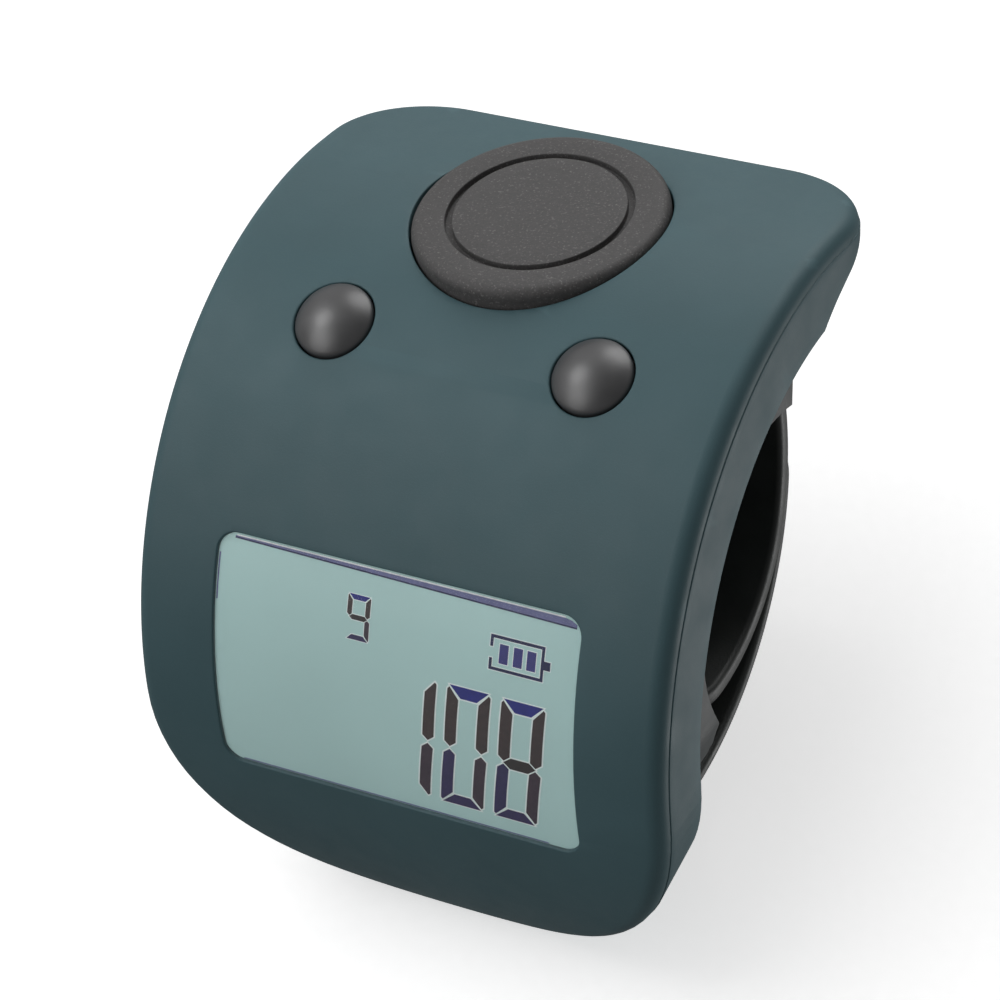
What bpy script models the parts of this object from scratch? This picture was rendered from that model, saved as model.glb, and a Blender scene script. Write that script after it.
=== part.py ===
"""Finger tally counter: a curved two-part case with a display window, three push buttons,
a button cell behind its own door, and a soft finger strap in two overlapping halves.

Curved pieces start as flat patterns: X across the case, Y along the surface, Z out of it.
They are cut while flat and then bent onto a track of tangent arcs seen from the side.
The whole counter is drawn upright and then leaned back until it rests on the end of its
case and on its strap, the way it lies on a table.
"""

import math

import bmesh
import bpy
from mathutils import Matrix, Vector

# Case: the side outline starts at the tip over the finger and runs down the front.
CASE_WIDTH = 0.0340
CASE_ARCS = ((0.0650, 7.3), (0.0242, 18.4), (0.0232, 41.3), (0.0245, 53.0), (0.0185, 24.0))
CASE_START = (0.0179, 0.0161)
CASE_START_TILT = 0.6
END_FLAT = 0.0004
TIP_CORNER = 0.0065
END_CORNER = (CASE_WIDTH - END_FLAT) / 2
CASE_WALL = 0.0015
EDGE_ROUND = 0.0011
SIDE_DEPTH = 0.0047
TIP_DEPTH = 0.0014
TAPER_START = 0.0035
TAPER_END = 0.0105

# Clearances.
GAP = 0.0003
FINE_GAP = 0.00015
PIN_GAP = 0.0002

# Rear cover.
REAR_WALL = 0.0010
RIM_DEPTH = 0.0039
RIM_CORNER = 0.0012
NEST_DEPTH = CASE_WALL + GAP
TONGUE_INSET = 0.0050
TONGUE_HALF = CASE_WIDTH / 2 - TONGUE_INSET
TONGUE_START = 0.0018
TONGUE_END = 0.0092
TONGUE_CORNER = 0.0020
RIM_END = 0.0490
THROUGH_DEPTH = 0.0140
POD_DEPTH = 0.0066
POD_LENGTH = 0.0120
POD_SLOPE = 0.02
FINGER_CENTRE = (0.0076, -0.0042)
FINGER_RADIUS = 0.0097
SADDLE_RELIEF = 0.0002
SADDLE_FROM = 85.0
SADDLE_TO = 222.0
SADDLE_STEPS = 34
LOWER_WELL_DEPTH = 0.0042
LOWER_WELL_START = 0.0550
LOWER_WELL_LENGTH = 0.0080

# Display.
WINDOW_MARGIN = 0.0054
WINDOW_WIDTH = CASE_WIDTH - 2 * WINDOW_MARGIN
WINDOW_LENGTH = 0.0149
WINDOW_STATION = 0.0423
WINDOW_CORNER = 0.0012
LENS_RECESS = 0.00005
LENS_THICKNESS = 0.0004
CELL_THICKNESS = 0.0013
FRAME_BORDER = 0.0013
FRAME_LAP = 0.0012
FRAME_THICKNESS = 0.0008
CONNECTOR_WIDTH = 0.0014
LED_WIDTH = 0.0030
LED_LENGTH = 0.0016

# Boards.
BOARD_THICKNESS = 0.0006
MAIN_BOARD_DEPTH = 0.0055
MAIN_BOARD_INSET = 0.0004
MAIN_BOARD_HALF = WINDOW_WIDTH / 2 - MAIN_BOARD_INSET
MAIN_BOARD_TOP = 0.0053
MAIN_BOARD_BOTTOM = 0.0078
CHIP_SIZE = 0.0044
CHIP_THICKNESS = 0.0009
CHIP_CENTRE = -0.0040
RIBBON_THICKNESS = 0.0002
RIBBON_WIDTH = 0.0036
UPPER_RIBBON_BULGE = (-0.0008, 0.0)
LOWER_RIBBON_BULGE = (-0.0006, 0.0006)

# Count button: a flat disc that stands on the curved cover.
COUNT_STATION = 0.01133
COUNT_LEAN = 2.0
COUNT_RADIUS = 0.00745
COUNT_RISE = 0.00025
COUNT_EDGE = 0.0004
COUNT_PLATE = 0.0012
COUNT_SKIRT_WALL = 0.0010
COUNT_RING_RADIUS = 0.00524
COUNT_RING_WIDTH = 0.0005
COUNT_RING_DEPTH = 0.00025
COUNT_TRAVEL = 0.0006
COUNT_STEM_RADIUS = 0.0012
COUNT_STEM_DEPTH = 0.0022
COUNT_EAR_REACH = 0.0011
COUNT_EAR_WIDTH = 0.0032
COUNT_EAR_THICKNESS = 0.0004
COUNT_EAR_DEPTH = CASE_WALL + 1.5 * GAP
COUNT_SKIRT_DEPTH = COUNT_EAR_DEPTH + COUNT_EAR_THICKNESS
COUNT_BOARD_INSET = 0.0025
COUNT_BOARD_HALF = TONGUE_HALF - COUNT_BOARD_INSET
COUNT_BOARD_BACK = 0.0065
COUNT_BOARD_FRONT = 0.0034

# Side buttons: two small domes.
SIDE_STATION = 0.02173
SIDE_RADIUS = 0.00235
SIDE_DOME = 0.0010
SIDE_FLANGE_RADIUS = 0.0031
SIDE_FLANGE_THICKNESS = 0.0005
SIDE_FLANGE_DEPTH = CASE_WALL + 0.00055
SIDE_TRAVEL = 0.0005
SIDE_NIB_RADIUS = 0.0009
SIDE_NIB_LENGTH = 0.0002
SIDE_NIB_DEPTH = SIDE_FLANGE_DEPTH + SIDE_FLANGE_THICKNESS + SIDE_NIB_LENGTH
SIDE_BOARD_BACK = 0.0036
SIDE_BOARD_FRONT = 0.0056

# Switches.
COUNT_SWITCH_SIZE = 0.0052
COUNT_SWITCH_HEIGHT = 0.0014
SIDE_SWITCH_SIZE = 0.0030
SIDE_SWITCH_HEIGHT = 0.0011
COUNT_PLUNGER_RADIUS = 0.0009
SIDE_PLUNGER_RADIUS = 0.0007
PLUNGER_PROUD = 0.0005

# Button cell, its contacts and its door.
CELL_STATION = 0.0255
CELL_RADIUS = 0.0058
CELL_HEIGHT = 0.00305
CELL_DEPTH = 0.0026
CELL_RIM = 0.0002
CONTACT_THICKNESS = 0.0002
CONTACT_WIDTH = 0.0024
CONTACT_LENGTH = 0.0080
DOOR_HALF_WIDTH = 0.0070
DOOR_HALF_LENGTH = 0.0065
DOOR_NOTCH_WIDTH = 0.0040
DOOR_NOTCH_DEPTH = 0.0004
DOOR_NOTCH_LENGTH = 0.0010

# The small buttons stand either side of the cell, over their switches.
SIDE_MARGIN = 0.0009
SIDE_OFFSET = CELL_RADIUS + SIDE_SWITCH_SIZE / 2 + SIDE_MARGIN

# Case screws.
SCREW_INSET = 0.0050
SCREW_OFFSET = CASE_WIDTH / 2 - SCREW_INSET
SCREW_STATIONS = {"upper": 0.0135, "lower": 0.0305}
SCREW_SHAFT_RADIUS = 0.0007
SCREW_HEAD_RADIUS = 0.0013
SCREW_HEAD_HEIGHT = 0.0006
BOSS_RADIUS = 0.0017
REAR_BOSS_WALL = 0.0006
BOSS_DEPTH = 0.0043
PILOT_DEPTH = 0.0019
SIDE_BOARD_HALF = SCREW_OFFSET - BOSS_RADIUS - GAP - 0.0001

# Strap halves: each is one bent band with an eye that turns on a pin.
PIN_RADIUS = 0.0009
EAR_RADIUS = 0.0016
EAR_THICKNESS = 0.00105
EAR_MARGIN = 0.0003
UPPER_NECK = (0.0066, 0.0014)
LOWER_NECK = (0.0004, 0.0048)
STRAP_INSET = 0.0064
UPPER_STRAP_HALF = CASE_WIDTH / 2 - STRAP_INSET
UPPER_STRAP_THICKNESS = 0.0012
UPPER_STRAP_TAIL = -98.0
UPPER_STRAP_ARCS = (
    (FINGER_RADIUS + UPPER_STRAP_THICKNESS / 2, 88.0), (0.0160, 26.0), (0.0070, 60.0)
)
UPPER_EYE_RADIUS = 0.0019
STRAP_STEP = 0.0004
LOWER_STRAP_HALF = UPPER_STRAP_HALF - STRAP_STEP
LOWER_STRAP_THICKNESS = 0.0009
LOWER_ROOT = (0.0596, 0.0054)
LOWER_STRAP_TO = 12.0
LOWER_EYE_RADIUS = 0.0018
STRAP_CORNER = 0.0035
STRAP_ROOT_CORNER = 0.0005
STRAP_EDGE = 0.0003
SLOT_COUNT = 3
SLOT_PITCH = 0.0055
SLOT_LENGTH = 0.0043
SLOT_WIDTH = 0.0024
FIRST_SLOT = 0.0060
STUD_RADIUS = 0.0008
STUD_PROUD = 0.0002
STUD_BELOW_TOP = 0.0015

# Facets.
BEND_STEP = 0.0026
LARGE_ROUND = 48
SMALL_ROUND = 20

COLOURS = {
    "case_teal": ((0.066, 0.108, 0.118), 0.46, 0.0),
    "case_dark": ((0.016, 0.022, 0.023), 0.55, 0.0),
    "button_grey": ((0.043, 0.043, 0.043), 0.62, 0.0),
    "button_gloss": ((0.050, 0.050, 0.052), 0.22, 0.0),
    "strap_black": ((0.012, 0.016, 0.015), 0.60, 0.0),
    "window_clear": ((0.80, 0.86, 0.84), 0.08, 0.0),
    "display_grey": ((0.32, 0.42, 0.39), 0.35, 0.0),
    "light_guide": ((0.85, 0.88, 0.86), 0.40, 0.0),
    "board_green": ((0.02, 0.13, 0.06), 0.45, 0.0),
    "ribbon_amber": ((0.42, 0.20, 0.05), 0.40, 0.0),
    "chip_black": ((0.012, 0.012, 0.013), 0.50, 0.0),
    "rubber_grey": ((0.10, 0.10, 0.11), 0.70, 0.0),
    "switch_black": ((0.015, 0.015, 0.016), 0.45, 0.0),
    "steel": ((0.62, 0.63, 0.65), 0.28, 1.0),
    "spring_steel": ((0.70, 0.66, 0.55), 0.30, 1.0),
}


class Track:
    """A side outline in the Y-Z plane: tangent arcs, measured along their length."""

    def __init__(self, start, tilt, arcs):
        self.pieces = []
        station = 0.0
        point = Vector(start)
        angle = math.radians(tilt)
        for radius, sweep in arcs:
            centre = point - radius * self.normal_of(angle)
            self.pieces.append((station, angle, radius, centre))
            station += radius * math.radians(sweep)
            angle += math.radians(sweep)
            point = centre + radius * self.normal_of(angle)
        self.length = station

    @staticmethod
    def normal_of(angle):
        return Vector((-math.sin(angle), math.cos(angle)))

    def tilt(self, station):
        first, angle, radius, _ = self.piece_at(station)
        return angle + (min(max(station, 0.0), self.length) - first) / radius

    def piece_at(self, station):
        found = self.pieces[0]
        for piece in self.pieces:
            if station >= piece[0]:
                found = piece
        return found

    def point(self, station, height=0.0):
        inside = min(max(station, 0.0), self.length)
        _, _, radius, centre = self.piece_at(inside)
        angle = self.tilt(inside)
        normal = self.normal_of(angle)
        onward = Vector((-math.cos(angle), -math.sin(angle)))
        return centre + (radius + height) * normal + (station - inside) * onward


def polar(centre, radius, degrees):
    angle = math.radians(degrees)
    return Vector(centre) + radius * Vector((math.cos(angle), math.sin(angle)))


def arc_points(centre, radius, first, last, steps):
    return [polar(centre, radius, first + (last - first) * i / steps) for i in range(steps + 1)]


CASE = Track(CASE_START, CASE_START_TILT, CASE_ARCS)
UPPER_STRAP = Track(
    polar(FINGER_CENTRE, UPPER_STRAP_ARCS[0][0], UPPER_STRAP_TAIL),
    UPPER_STRAP_TAIL - 90.0,
    UPPER_STRAP_ARCS,
)


def lower_strap_circle():
    """The circle through the lower strap's root that lies round the upper strap's outer side."""
    root = CASE.point(LOWER_ROOT[0], -LOWER_ROOT[1])
    ring = FINGER_RADIUS + UPPER_STRAP_THICKNESS + GAP + LOWER_STRAP_THICKNESS / 2
    touch = Vector(FINGER_CENTRE) + Vector((ring, 0.0))
    away = touch - root
    radius = away.length_squared / (2 * away.x)
    centre = touch - Vector((radius, 0.0))
    start = root - centre
    return centre, radius, math.degrees(math.atan2(start.y, start.x))


LOWER_STRAP_CENTRE, LOWER_STRAP_RADIUS, LOWER_STRAP_FROM = lower_strap_circle()
LOWER_STRAP = Track(
    polar(LOWER_STRAP_CENTRE, LOWER_STRAP_RADIUS, LOWER_STRAP_FROM),
    LOWER_STRAP_FROM - 90.0,
    ((LOWER_STRAP_RADIUS, LOWER_STRAP_TO - LOWER_STRAP_FROM),),
)
UPPER_PIN = UPPER_STRAP.point(UPPER_STRAP.length, UPPER_EYE_RADIUS - UPPER_STRAP_THICKNESS / 2)
LOWER_PIN = LOWER_STRAP.point(0.0, LOWER_STRAP_THICKNESS / 2 - LOWER_EYE_RADIUS)
COUNT_TILT = CASE.tilt(COUNT_STATION) + math.radians(COUNT_LEAN)
SADDLE_RADIUS = FINGER_RADIUS + SADDLE_RELIEF


def case_lean():
    """How far the case leans back to rest on its rounded end and on the lower strap."""
    end = CASE.point(CASE.length - EDGE_ROUND, -EDGE_ROUND)
    across = Vector(LOWER_STRAP_CENTRE) - end
    drop = LOWER_STRAP_RADIUS + LOWER_STRAP_THICKNESS / 2 - EDGE_ROUND
    return math.atan2(across.y, across.x) - math.asin(drop / across.length)


def clear_scene():
    for item in list(bpy.data.objects):
        bpy.data.objects.remove(item, do_unlink=True)


def make_collection(name):
    group = bpy.data.collections.new(name)
    bpy.context.scene.collection.children.link(group)
    return group


def make_materials():
    made = {}
    for name, (colour, roughness, metallic) in COLOURS.items():
        material = bpy.data.materials.new(name)
        material.use_nodes = True
        shader = material.node_tree.nodes["Principled BSDF"]
        shader.inputs["Base Color"].default_value = (*colour, 1.0)
        shader.inputs["Roughness"].default_value = roughness
        shader.inputs["Metallic"].default_value = metallic
        made[name] = material
    return made


def make_empty(name, parent=None, location=(0.0, 0.0, 0.0), tilt=0.0):
    empty = bpy.data.objects.new(name, None)
    empty.empty_display_size = 0.002
    empty.parent = parent
    empty.location = location
    empty.rotation_euler = (tilt, 0.0, 0.0)
    PARTS.objects.link(empty)
    return empty


def make_seat(name, station, tilt=None):
    """An empty on the case's surface: its Z points out of the case, its Y towards the tip."""
    y, z = CASE.point(station)
    return make_empty(name, FRAME, (0.0, y, z), CASE.tilt(station) if tilt is None else tilt)


def add_piece(name, shape, material, parent=None):
    mesh = bpy.data.meshes.new(name)
    shape.to_mesh(mesh)
    shape.free()
    piece = bpy.data.objects.new(name, mesh)
    piece.parent = parent or FRAME
    mesh.materials.append(MATERIALS[material])
    PARTS.objects.link(piece)
    return piece


def add_cutter(name, shape, parent=None):
    mesh = bpy.data.meshes.new(name)
    shape.to_mesh(mesh)
    shape.free()
    cutter = bpy.data.objects.new(name, mesh)
    cutter.parent = parent
    cutter.hide_render = True
    cutter.display_type = "WIRE"
    CUTTERS.objects.link(cutter)
    return cutter


def combine(piece, cutter, operation="DIFFERENCE", solver="EXACT"):
    change = piece.modifiers.new(cutter.name, "BOOLEAN")
    change.operation = operation
    change.object = cutter
    change.solver = solver


def carve(piece, cutter, operation="DIFFERENCE"):
    """As combine, for the rear cover: its long chain of curved cuts leaves EXACT open."""
    combine(piece, cutter, operation, "MANIFOLD")


def settle(piece):
    """Turn the piece's modifiers into its mesh."""
    bpy.context.view_layer.update()
    graph = bpy.context.evaluated_depsgraph_get()
    mesh = bpy.data.meshes.new_from_object(piece.evaluated_get(graph))
    piece.modifiers.clear()
    piece.data = mesh


def flat_combine(piece, shapes, operation="DIFFERENCE"):
    """Cut or join flat shapes into a flat pattern, before it is bent."""
    helpers = [add_cutter(f"{piece.name}_flat_{i}", shape) for i, shape in enumerate(shapes)]
    home = piece.parent
    piece.parent = None
    for helper in helpers:
        combine(piece, helper, operation)
    settle(piece)
    piece.parent = home
    for helper in helpers:
        bpy.data.objects.remove(helper, do_unlink=True)


def slab(outline, low, high):
    """A flat plate: an outline in X-Y, raised from low to high."""
    shape = bmesh.new()
    base = shape.faces.new([shape.verts.new((x, y, low)) for x, y in outline])
    raised = bmesh.ops.extrude_face_region(shape, geom=[base])
    moved = [item for item in raised["geom"] if isinstance(item, bmesh.types.BMVert)]
    bmesh.ops.translate(shape, verts=moved, vec=(0.0, 0.0, high - low))
    bmesh.ops.recalc_face_normals(shape, faces=shape.faces)
    return shape


def side_prism(outline, low, high):
    """A side outline in Y-Z, drawn across X from low to high."""
    shape = slab(outline, low, high)
    bmesh.ops.transform(shape, verts=shape.verts, matrix=Matrix(((0, 0, 1), (1, 0, 0), (0, 1, 0))).to_4x4())
    return shape


def rounded_outline(half, first, last, first_corner, last_corner, steps=8):
    """A plate outline, half wide each side of X = 0, from first to last along Y."""
    right = []
    right += [(half - last_corner + p.x, last - last_corner + p.y)
              for p in arc_points((0.0, 0.0), last_corner, 0.0, 90.0, steps)]
    left = [(-x, y) for x, y in reversed(right)]
    low_left = [(-half + first_corner + p.x, first + first_corner + p.y)
                for p in arc_points((0.0, 0.0), first_corner, 180.0, 270.0, steps)]
    low_right = [(-x, y) for x, y in reversed(low_left)]
    return right + left + low_left + low_right


def box(size, centre):
    shape = bmesh.new()
    bmesh.ops.create_cube(shape, size=1.0)
    bmesh.ops.scale(shape, verts=shape.verts, vec=size)
    bmesh.ops.translate(shape, verts=shape.verts, vec=centre)
    return shape


def block(half_width, back, front, low, high, offset=0.0):
    """A box in a seat's own axes, from low to high, reaching back to the tip and front."""
    size = (2.0 * half_width, back + front, high - low)
    return box(size, (offset, (back - front) / 2.0, (low + high) / 2.0))


def rod(radius, low, high, centre=(0.0, 0.0), segments=SMALL_ROUND):
    shape = bmesh.new()
    bmesh.ops.create_cone(
        shape, cap_ends=True, segments=segments, radius1=radius, radius2=radius, depth=high - low
    )
    bmesh.ops.translate(shape, verts=shape.verts, vec=(*centre, (low + high) / 2.0))
    return shape


def cross_rod(radius, half_length, centre, segments=SMALL_ROUND):
    """A rod along X through a point of the side view."""
    shape = rod(radius, -half_length, half_length, segments=segments)
    bmesh.ops.rotate(shape, verts=shape.verts, matrix=Matrix.Rotation(math.pi / 2.0, 3, "Y"))
    bmesh.ops.translate(shape, verts=shape.verts, vec=(0.0, *centre))
    return shape


def turned(profile, segments):
    """A round piece: a profile of (radius, height) from its top centre to its bottom centre."""
    shape = bmesh.new()
    points = [shape.verts.new((radius, 0.0, height)) for radius, height in profile]
    edges = [shape.edges.new(pair) for pair in zip(points, points[1:])]
    bmesh.ops.spin(
        shape, geom=points + edges, cent=(0.0, 0.0, 0.0), axis=(0.0, 0.0, 1.0),
        angle=2.0 * math.pi, steps=segments, use_merge=True,
    )
    bmesh.ops.remove_doubles(shape, verts=shape.verts, dist=0.000001)
    bmesh.ops.recalc_face_normals(shape, faces=shape.faces)
    return shape


def round_rim(shape, height, radius, segments=3):
    """Round the edges of a flat plate that lie at one height."""
    rim = [edge for edge in shape.edges if all(abs(v.co.z - height) < 0.000001 for v in edge.verts)]
    bmesh.ops.bevel(
        shape, geom=rim, offset=radius, segments=segments, profile=0.5, affect="EDGES", material=-1
    )


def bend(piece, track, origin=(0.0, 0.0), step=BEND_STEP):
    """Wrap a flat pattern onto a track, in the side view's axes less the piece's origin."""
    shape = bmesh.new()
    shape.from_mesh(piece.data)
    low = min(v.co.y for v in shape.verts)
    high = max(v.co.y for v in shape.verts)
    for count in range(math.floor(low / step), math.ceil(high / step) + 1):
        station = count * step
        if low + 0.00001 < station < high - 0.00001:
            bmesh.ops.bisect_plane(
                shape, geom=shape.verts[:] + shape.edges[:] + shape.faces[:], dist=0.000001,
                plane_co=(0.0, station, 0.0), plane_no=(0.0, 1.0, 0.0),
            )
    bmesh.ops.triangulate(shape, faces=shape.faces)
    for vertex in shape.verts:
        x, station, height = vertex.co
        y, z = track.point(station, height)
        vertex.co = (x, y - origin[0], z - origin[1])
    bmesh.ops.reverse_faces(shape, faces=shape.faces)
    shape.to_mesh(piece.data)
    shape.free()


def smooth(piece, degrees=35.0):
    piece.data.shade_smooth()
    piece.data.set_sharp_from_angle(angle=math.radians(degrees))


def case_outline(inset):
    """The case's plan, drawn in by inset all round."""
    return rounded_outline(
        CASE_WIDTH / 2 - inset, inset, CASE.length - inset, TIP_CORNER - inset, END_CORNER - inset, 10
    )


def rear_depth(station):
    """Depth of the saddle's outer face straight below a station of the case."""
    ray = -Track.normal_of(CASE.tilt(station))
    away = CASE.point(station) - Vector(FINGER_CENTRE)
    along = away.dot(ray)
    reach = along * along - away.length_squared + SADDLE_RADIUS ** 2
    pod = POD_DEPTH
    return min(pod, -along - math.sqrt(reach)) if station < SIDE_STATION else -along - math.sqrt(reach)


def window_outline(inset):
    half = WINDOW_LENGTH / 2 - inset
    corner = WINDOW_CORNER - min(inset, WINDOW_CORNER / 2)
    return rounded_outline(
        WINDOW_WIDTH / 2 - inset, WINDOW_STATION - half, WINDOW_STATION + half, corner, corner, 4
    )


def make_front_cover():
    shape = slab(case_outline(0.0), -SIDE_DEPTH, 0.0)
    round_rim(shape, 0.0, EDGE_ROUND)
    cover = add_piece("front_cover", shape, "case_teal")
    reach = CASE_WIDTH
    taper = side_prism(
        ((-reach, -reach), (TAPER_END, -reach), (TAPER_END, -SIDE_DEPTH - GAP),
         (TAPER_END, -SIDE_DEPTH), (TAPER_START, -TIP_DEPTH), (-reach, -TIP_DEPTH)),
        -reach, reach,
    )
    hollow = slab(case_outline(CASE_WALL), -2 * SIDE_DEPTH, -CASE_WALL)
    window = slab(window_outline(0.0), -2 * CASE_WALL, CASE_WALL)
    flat_combine(cover, [hollow, taper, window])
    spots = [(side * SCREW_OFFSET, station) for station in SCREW_STATIONS.values() for side in (-1, 1)]
    flat_combine(cover, [rod(BOSS_RADIUS, -BOSS_DEPTH, -CASE_WALL / 2, spot) for spot in spots], "UNION")
    bend(cover, CASE)
    for name, seat, side in SCREW_SEATS:
        pilot = rod(SCREW_SHAFT_RADIUS + FINE_GAP, -2 * BOSS_DEPTH, -PILOT_DEPTH, (side * SCREW_OFFSET, 0.0))
        combine(cover, add_cutter(f"{name}_pilot", pilot, seat))
    count_hole = rod(COUNT_RADIUS + GAP, -SIDE_DEPTH, SIDE_DEPTH, segments=LARGE_ROUND)
    combine(cover, add_cutter("count_hole", count_hole, COUNT_SEAT))
    for name, side in (("left", -1), ("right", 1)):
        hole = rod(SIDE_RADIUS + GAP, -SIDE_DEPTH, SIDE_DEPTH, (side * SIDE_OFFSET, 0.0), 28)
        combine(cover, add_cutter(f"{name}_hole", hole, SIDE_SEAT))
    smooth(cover, 30.0)
    return cover


def pod_point(back, depth):
    """A point of the side view in the count button's own axes."""
    middle = CASE.point(COUNT_STATION)
    along = Vector((math.cos(COUNT_TILT), math.sin(COUNT_TILT)))
    return middle + back * along - depth * Track.normal_of(COUNT_TILT)


def rear_outline(inset):
    """The rear cover's side outline; inset draws its finger side in by a wall."""
    radius = SADDLE_RADIUS + inset
    saddle = arc_points(FINGER_CENTRE, radius, SADDLE_FROM, SADDLE_TO, SADDLE_STEPS)
    pod_back = pod_point(POD_LENGTH, POD_DEPTH - inset)
    pod_front = pod_point(0.0, POD_DEPTH - inset)
    pod_front.x = saddle[0].x - (pod_front.y - saddle[0].y) * POD_SLOPE
    well = [CASE.point(LOWER_WELL_START + LOWER_WELL_LENGTH * step / 4, inset - LOWER_WELL_DEPTH)
            for step in range(5)]
    front = [CASE.point(CASE.length * (1.0 - step / 12), -CASE_WALL / 2) for step in range(13)]
    return [pod_back, pod_front, *saddle, *well, *front]


def rear_plan(inset):
    """The rear cover's plan: a broad plate with a narrower tongue under the tip."""
    half = CASE_WIDTH / 2 - CASE_WALL - GAP - inset
    start = TONGUE_END + inset
    last = CASE.length - CASE_WALL - GAP - inset
    corner = END_CORNER - CASE_WALL - GAP - inset
    tongue = TONGUE_HALF - inset
    middle = (start + last) / 2
    ends = rounded_outline(half, start, last, half - tongue, corner, 10)
    lower = [point for point in ends if point[1] > middle]
    tip = rounded_outline(tongue, TONGUE_START + inset, start, TONGUE_CORNER, FINE_GAP, 4)
    tip = [point for point in tip if point[1] < start - FINE_GAP * 2]
    shoulder = [(-half, start), (-tongue, start)]
    return [*lower, *shoulder, *tip, *[(-x, y) for x, y in reversed(shoulder)]]


def make_rear_cover():
    half = CASE_WIDTH / 2
    cover = add_piece("rear_cover", side_prism(rear_outline(0.0), -half, half), "case_dark")
    outer = add_cutter("rear_plan_outer", slab(rear_plan(0.0), -THROUGH_DEPTH, -NEST_DEPTH), FRAME)
    bend(outer, CASE)
    carve(cover, outer, "INTERSECT")
    hollow = add_cutter("rear_hollow", side_prism(rear_outline(REAR_WALL), -half, half), FRAME)
    inner = add_cutter("rear_plan_inner", slab(rear_plan(REAR_WALL + GAP), -THROUGH_DEPTH, 0.0), FRAME)
    bend(inner, CASE)
    carve(hollow, inner, "INTERSECT")
    carve(cover, hollow)
    rim_plan = rounded_outline(CASE_WIDTH, TONGUE_END - GAP, RIM_END, RIM_CORNER, RIM_CORNER, 2)
    rim = slab(rim_plan, -RIM_DEPTH, CASE_WALL)
    rim_cut = add_cutter("rear_rim", rim, FRAME)
    bend(rim_cut, CASE)
    carve(cover, rim_cut)
    add_screw_bosses(cover)
    add_strap_ears(cover)
    opening = block(DOOR_HALF_WIDTH, DOOR_HALF_LENGTH, DOOR_HALF_LENGTH, -THROUGH_DEPTH, -CELL_DEPTH)
    carve(cover, add_cutter("door_opening", opening, CELL_SEAT))
    smooth(cover, 30.0)
    return cover


def add_screw_bosses(cover):
    for name, seat, side in SCREW_SEATS:
        bottom = rear_depth(SCREW_STATIONS[name.split("_")[0]])
        spot = (side * SCREW_OFFSET, 0.0)
        radius = SCREW_HEAD_RADIUS + GAP + REAR_BOSS_WALL
        boss = rod(radius, -bottom + REAR_WALL / 2, -BOSS_DEPTH - GAP, spot)
        carve(cover, add_cutter(f"{name}_boss", boss, seat), "UNION")
        passage = rod(SCREW_SHAFT_RADIUS + GAP, -2 * bottom, 0.0, spot)
        carve(cover, add_cutter(f"{name}_passage", passage, seat))
        bore = rod(SCREW_HEAD_RADIUS + GAP, -2 * bottom, SCREW_HEAD_HEIGHT + 2 * GAP - bottom, spot)
        carve(cover, add_cutter(f"{name}_bore", bore, seat))


def add_strap_ears(cover):
    upper_in = UPPER_STRAP_HALF + EAR_MARGIN
    lower_in = LOWER_STRAP_HALF + EAR_MARGIN
    upper_neck = [pod_point(back, POD_DEPTH - REAR_WALL / 2) for back in UPPER_NECK]
    well_edge = CASE.point(LOWER_WELL_START, -LOWER_WELL_DEPTH)
    slope = (polar(FINGER_CENTRE, SADDLE_RADIUS, SADDLE_TO) - well_edge).normalized()
    inward = Vector((slope.y, -slope.x)) * -REAR_WALL / 2
    lower_neck = [well_edge + reach * slope + inward for reach in LOWER_NECK]
    plans = (("upper", UPPER_PIN, upper_neck, upper_in), ("lower", LOWER_PIN, lower_neck, lower_in))
    for name, pin, neck, inside in plans:
        towards = (neck[0] + neck[1]) / 2 - pin
        heading = math.degrees(math.atan2(towards.y, towards.x))
        cheek = arc_points(pin, EAR_RADIUS, heading + 90.0, heading + 270.0, 10)
        neck.sort(key=lambda point: towards.cross(point - pin))
        for label, side in (("left", -1), ("right", 1)):
            spans = sorted((side * inside, side * (inside + EAR_THICKNESS)))
            ear = side_prism([*cheek, *neck], *spans)
            carve(cover, add_cutter(f"{name}_{label}_ear", ear, FRAME), "UNION")
        hole = cross_rod(PIN_RADIUS + PIN_GAP, CASE_WIDTH / 2, pin)
        carve(cover, add_cutter(f"{name}_pin_hole", hole, FRAME))


def make_screws():
    for name, seat, side in SCREW_SEATS:
        bottom = -rear_depth(SCREW_STATIONS[name.split("_")[0]]) + GAP
        shoulder = bottom + SCREW_HEAD_HEIGHT
        profile = (
            (0.0, -PILOT_DEPTH - GAP), (SCREW_SHAFT_RADIUS, -PILOT_DEPTH - 2 * GAP),
            (SCREW_SHAFT_RADIUS, shoulder), (SCREW_HEAD_RADIUS, shoulder),
            (SCREW_HEAD_RADIUS, bottom), (0.0, bottom),
        )
        screw = add_piece(f"{name}_screw", turned(profile, SMALL_ROUND), "steel", seat)
        screw.location = (side * SCREW_OFFSET, 0.0, 0.0)
        smooth(screw)


def display_place(station, depth):
    """Where a place inside the case lies in the display's own axes: back and depth."""
    tilt = CASE.tilt(WINDOW_STATION)
    away = CASE.point(station, -depth) - CASE.point(WINDOW_STATION)
    return away.dot(Vector((math.cos(tilt), math.sin(tilt)))), -away.dot(Track.normal_of(tilt))


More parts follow.
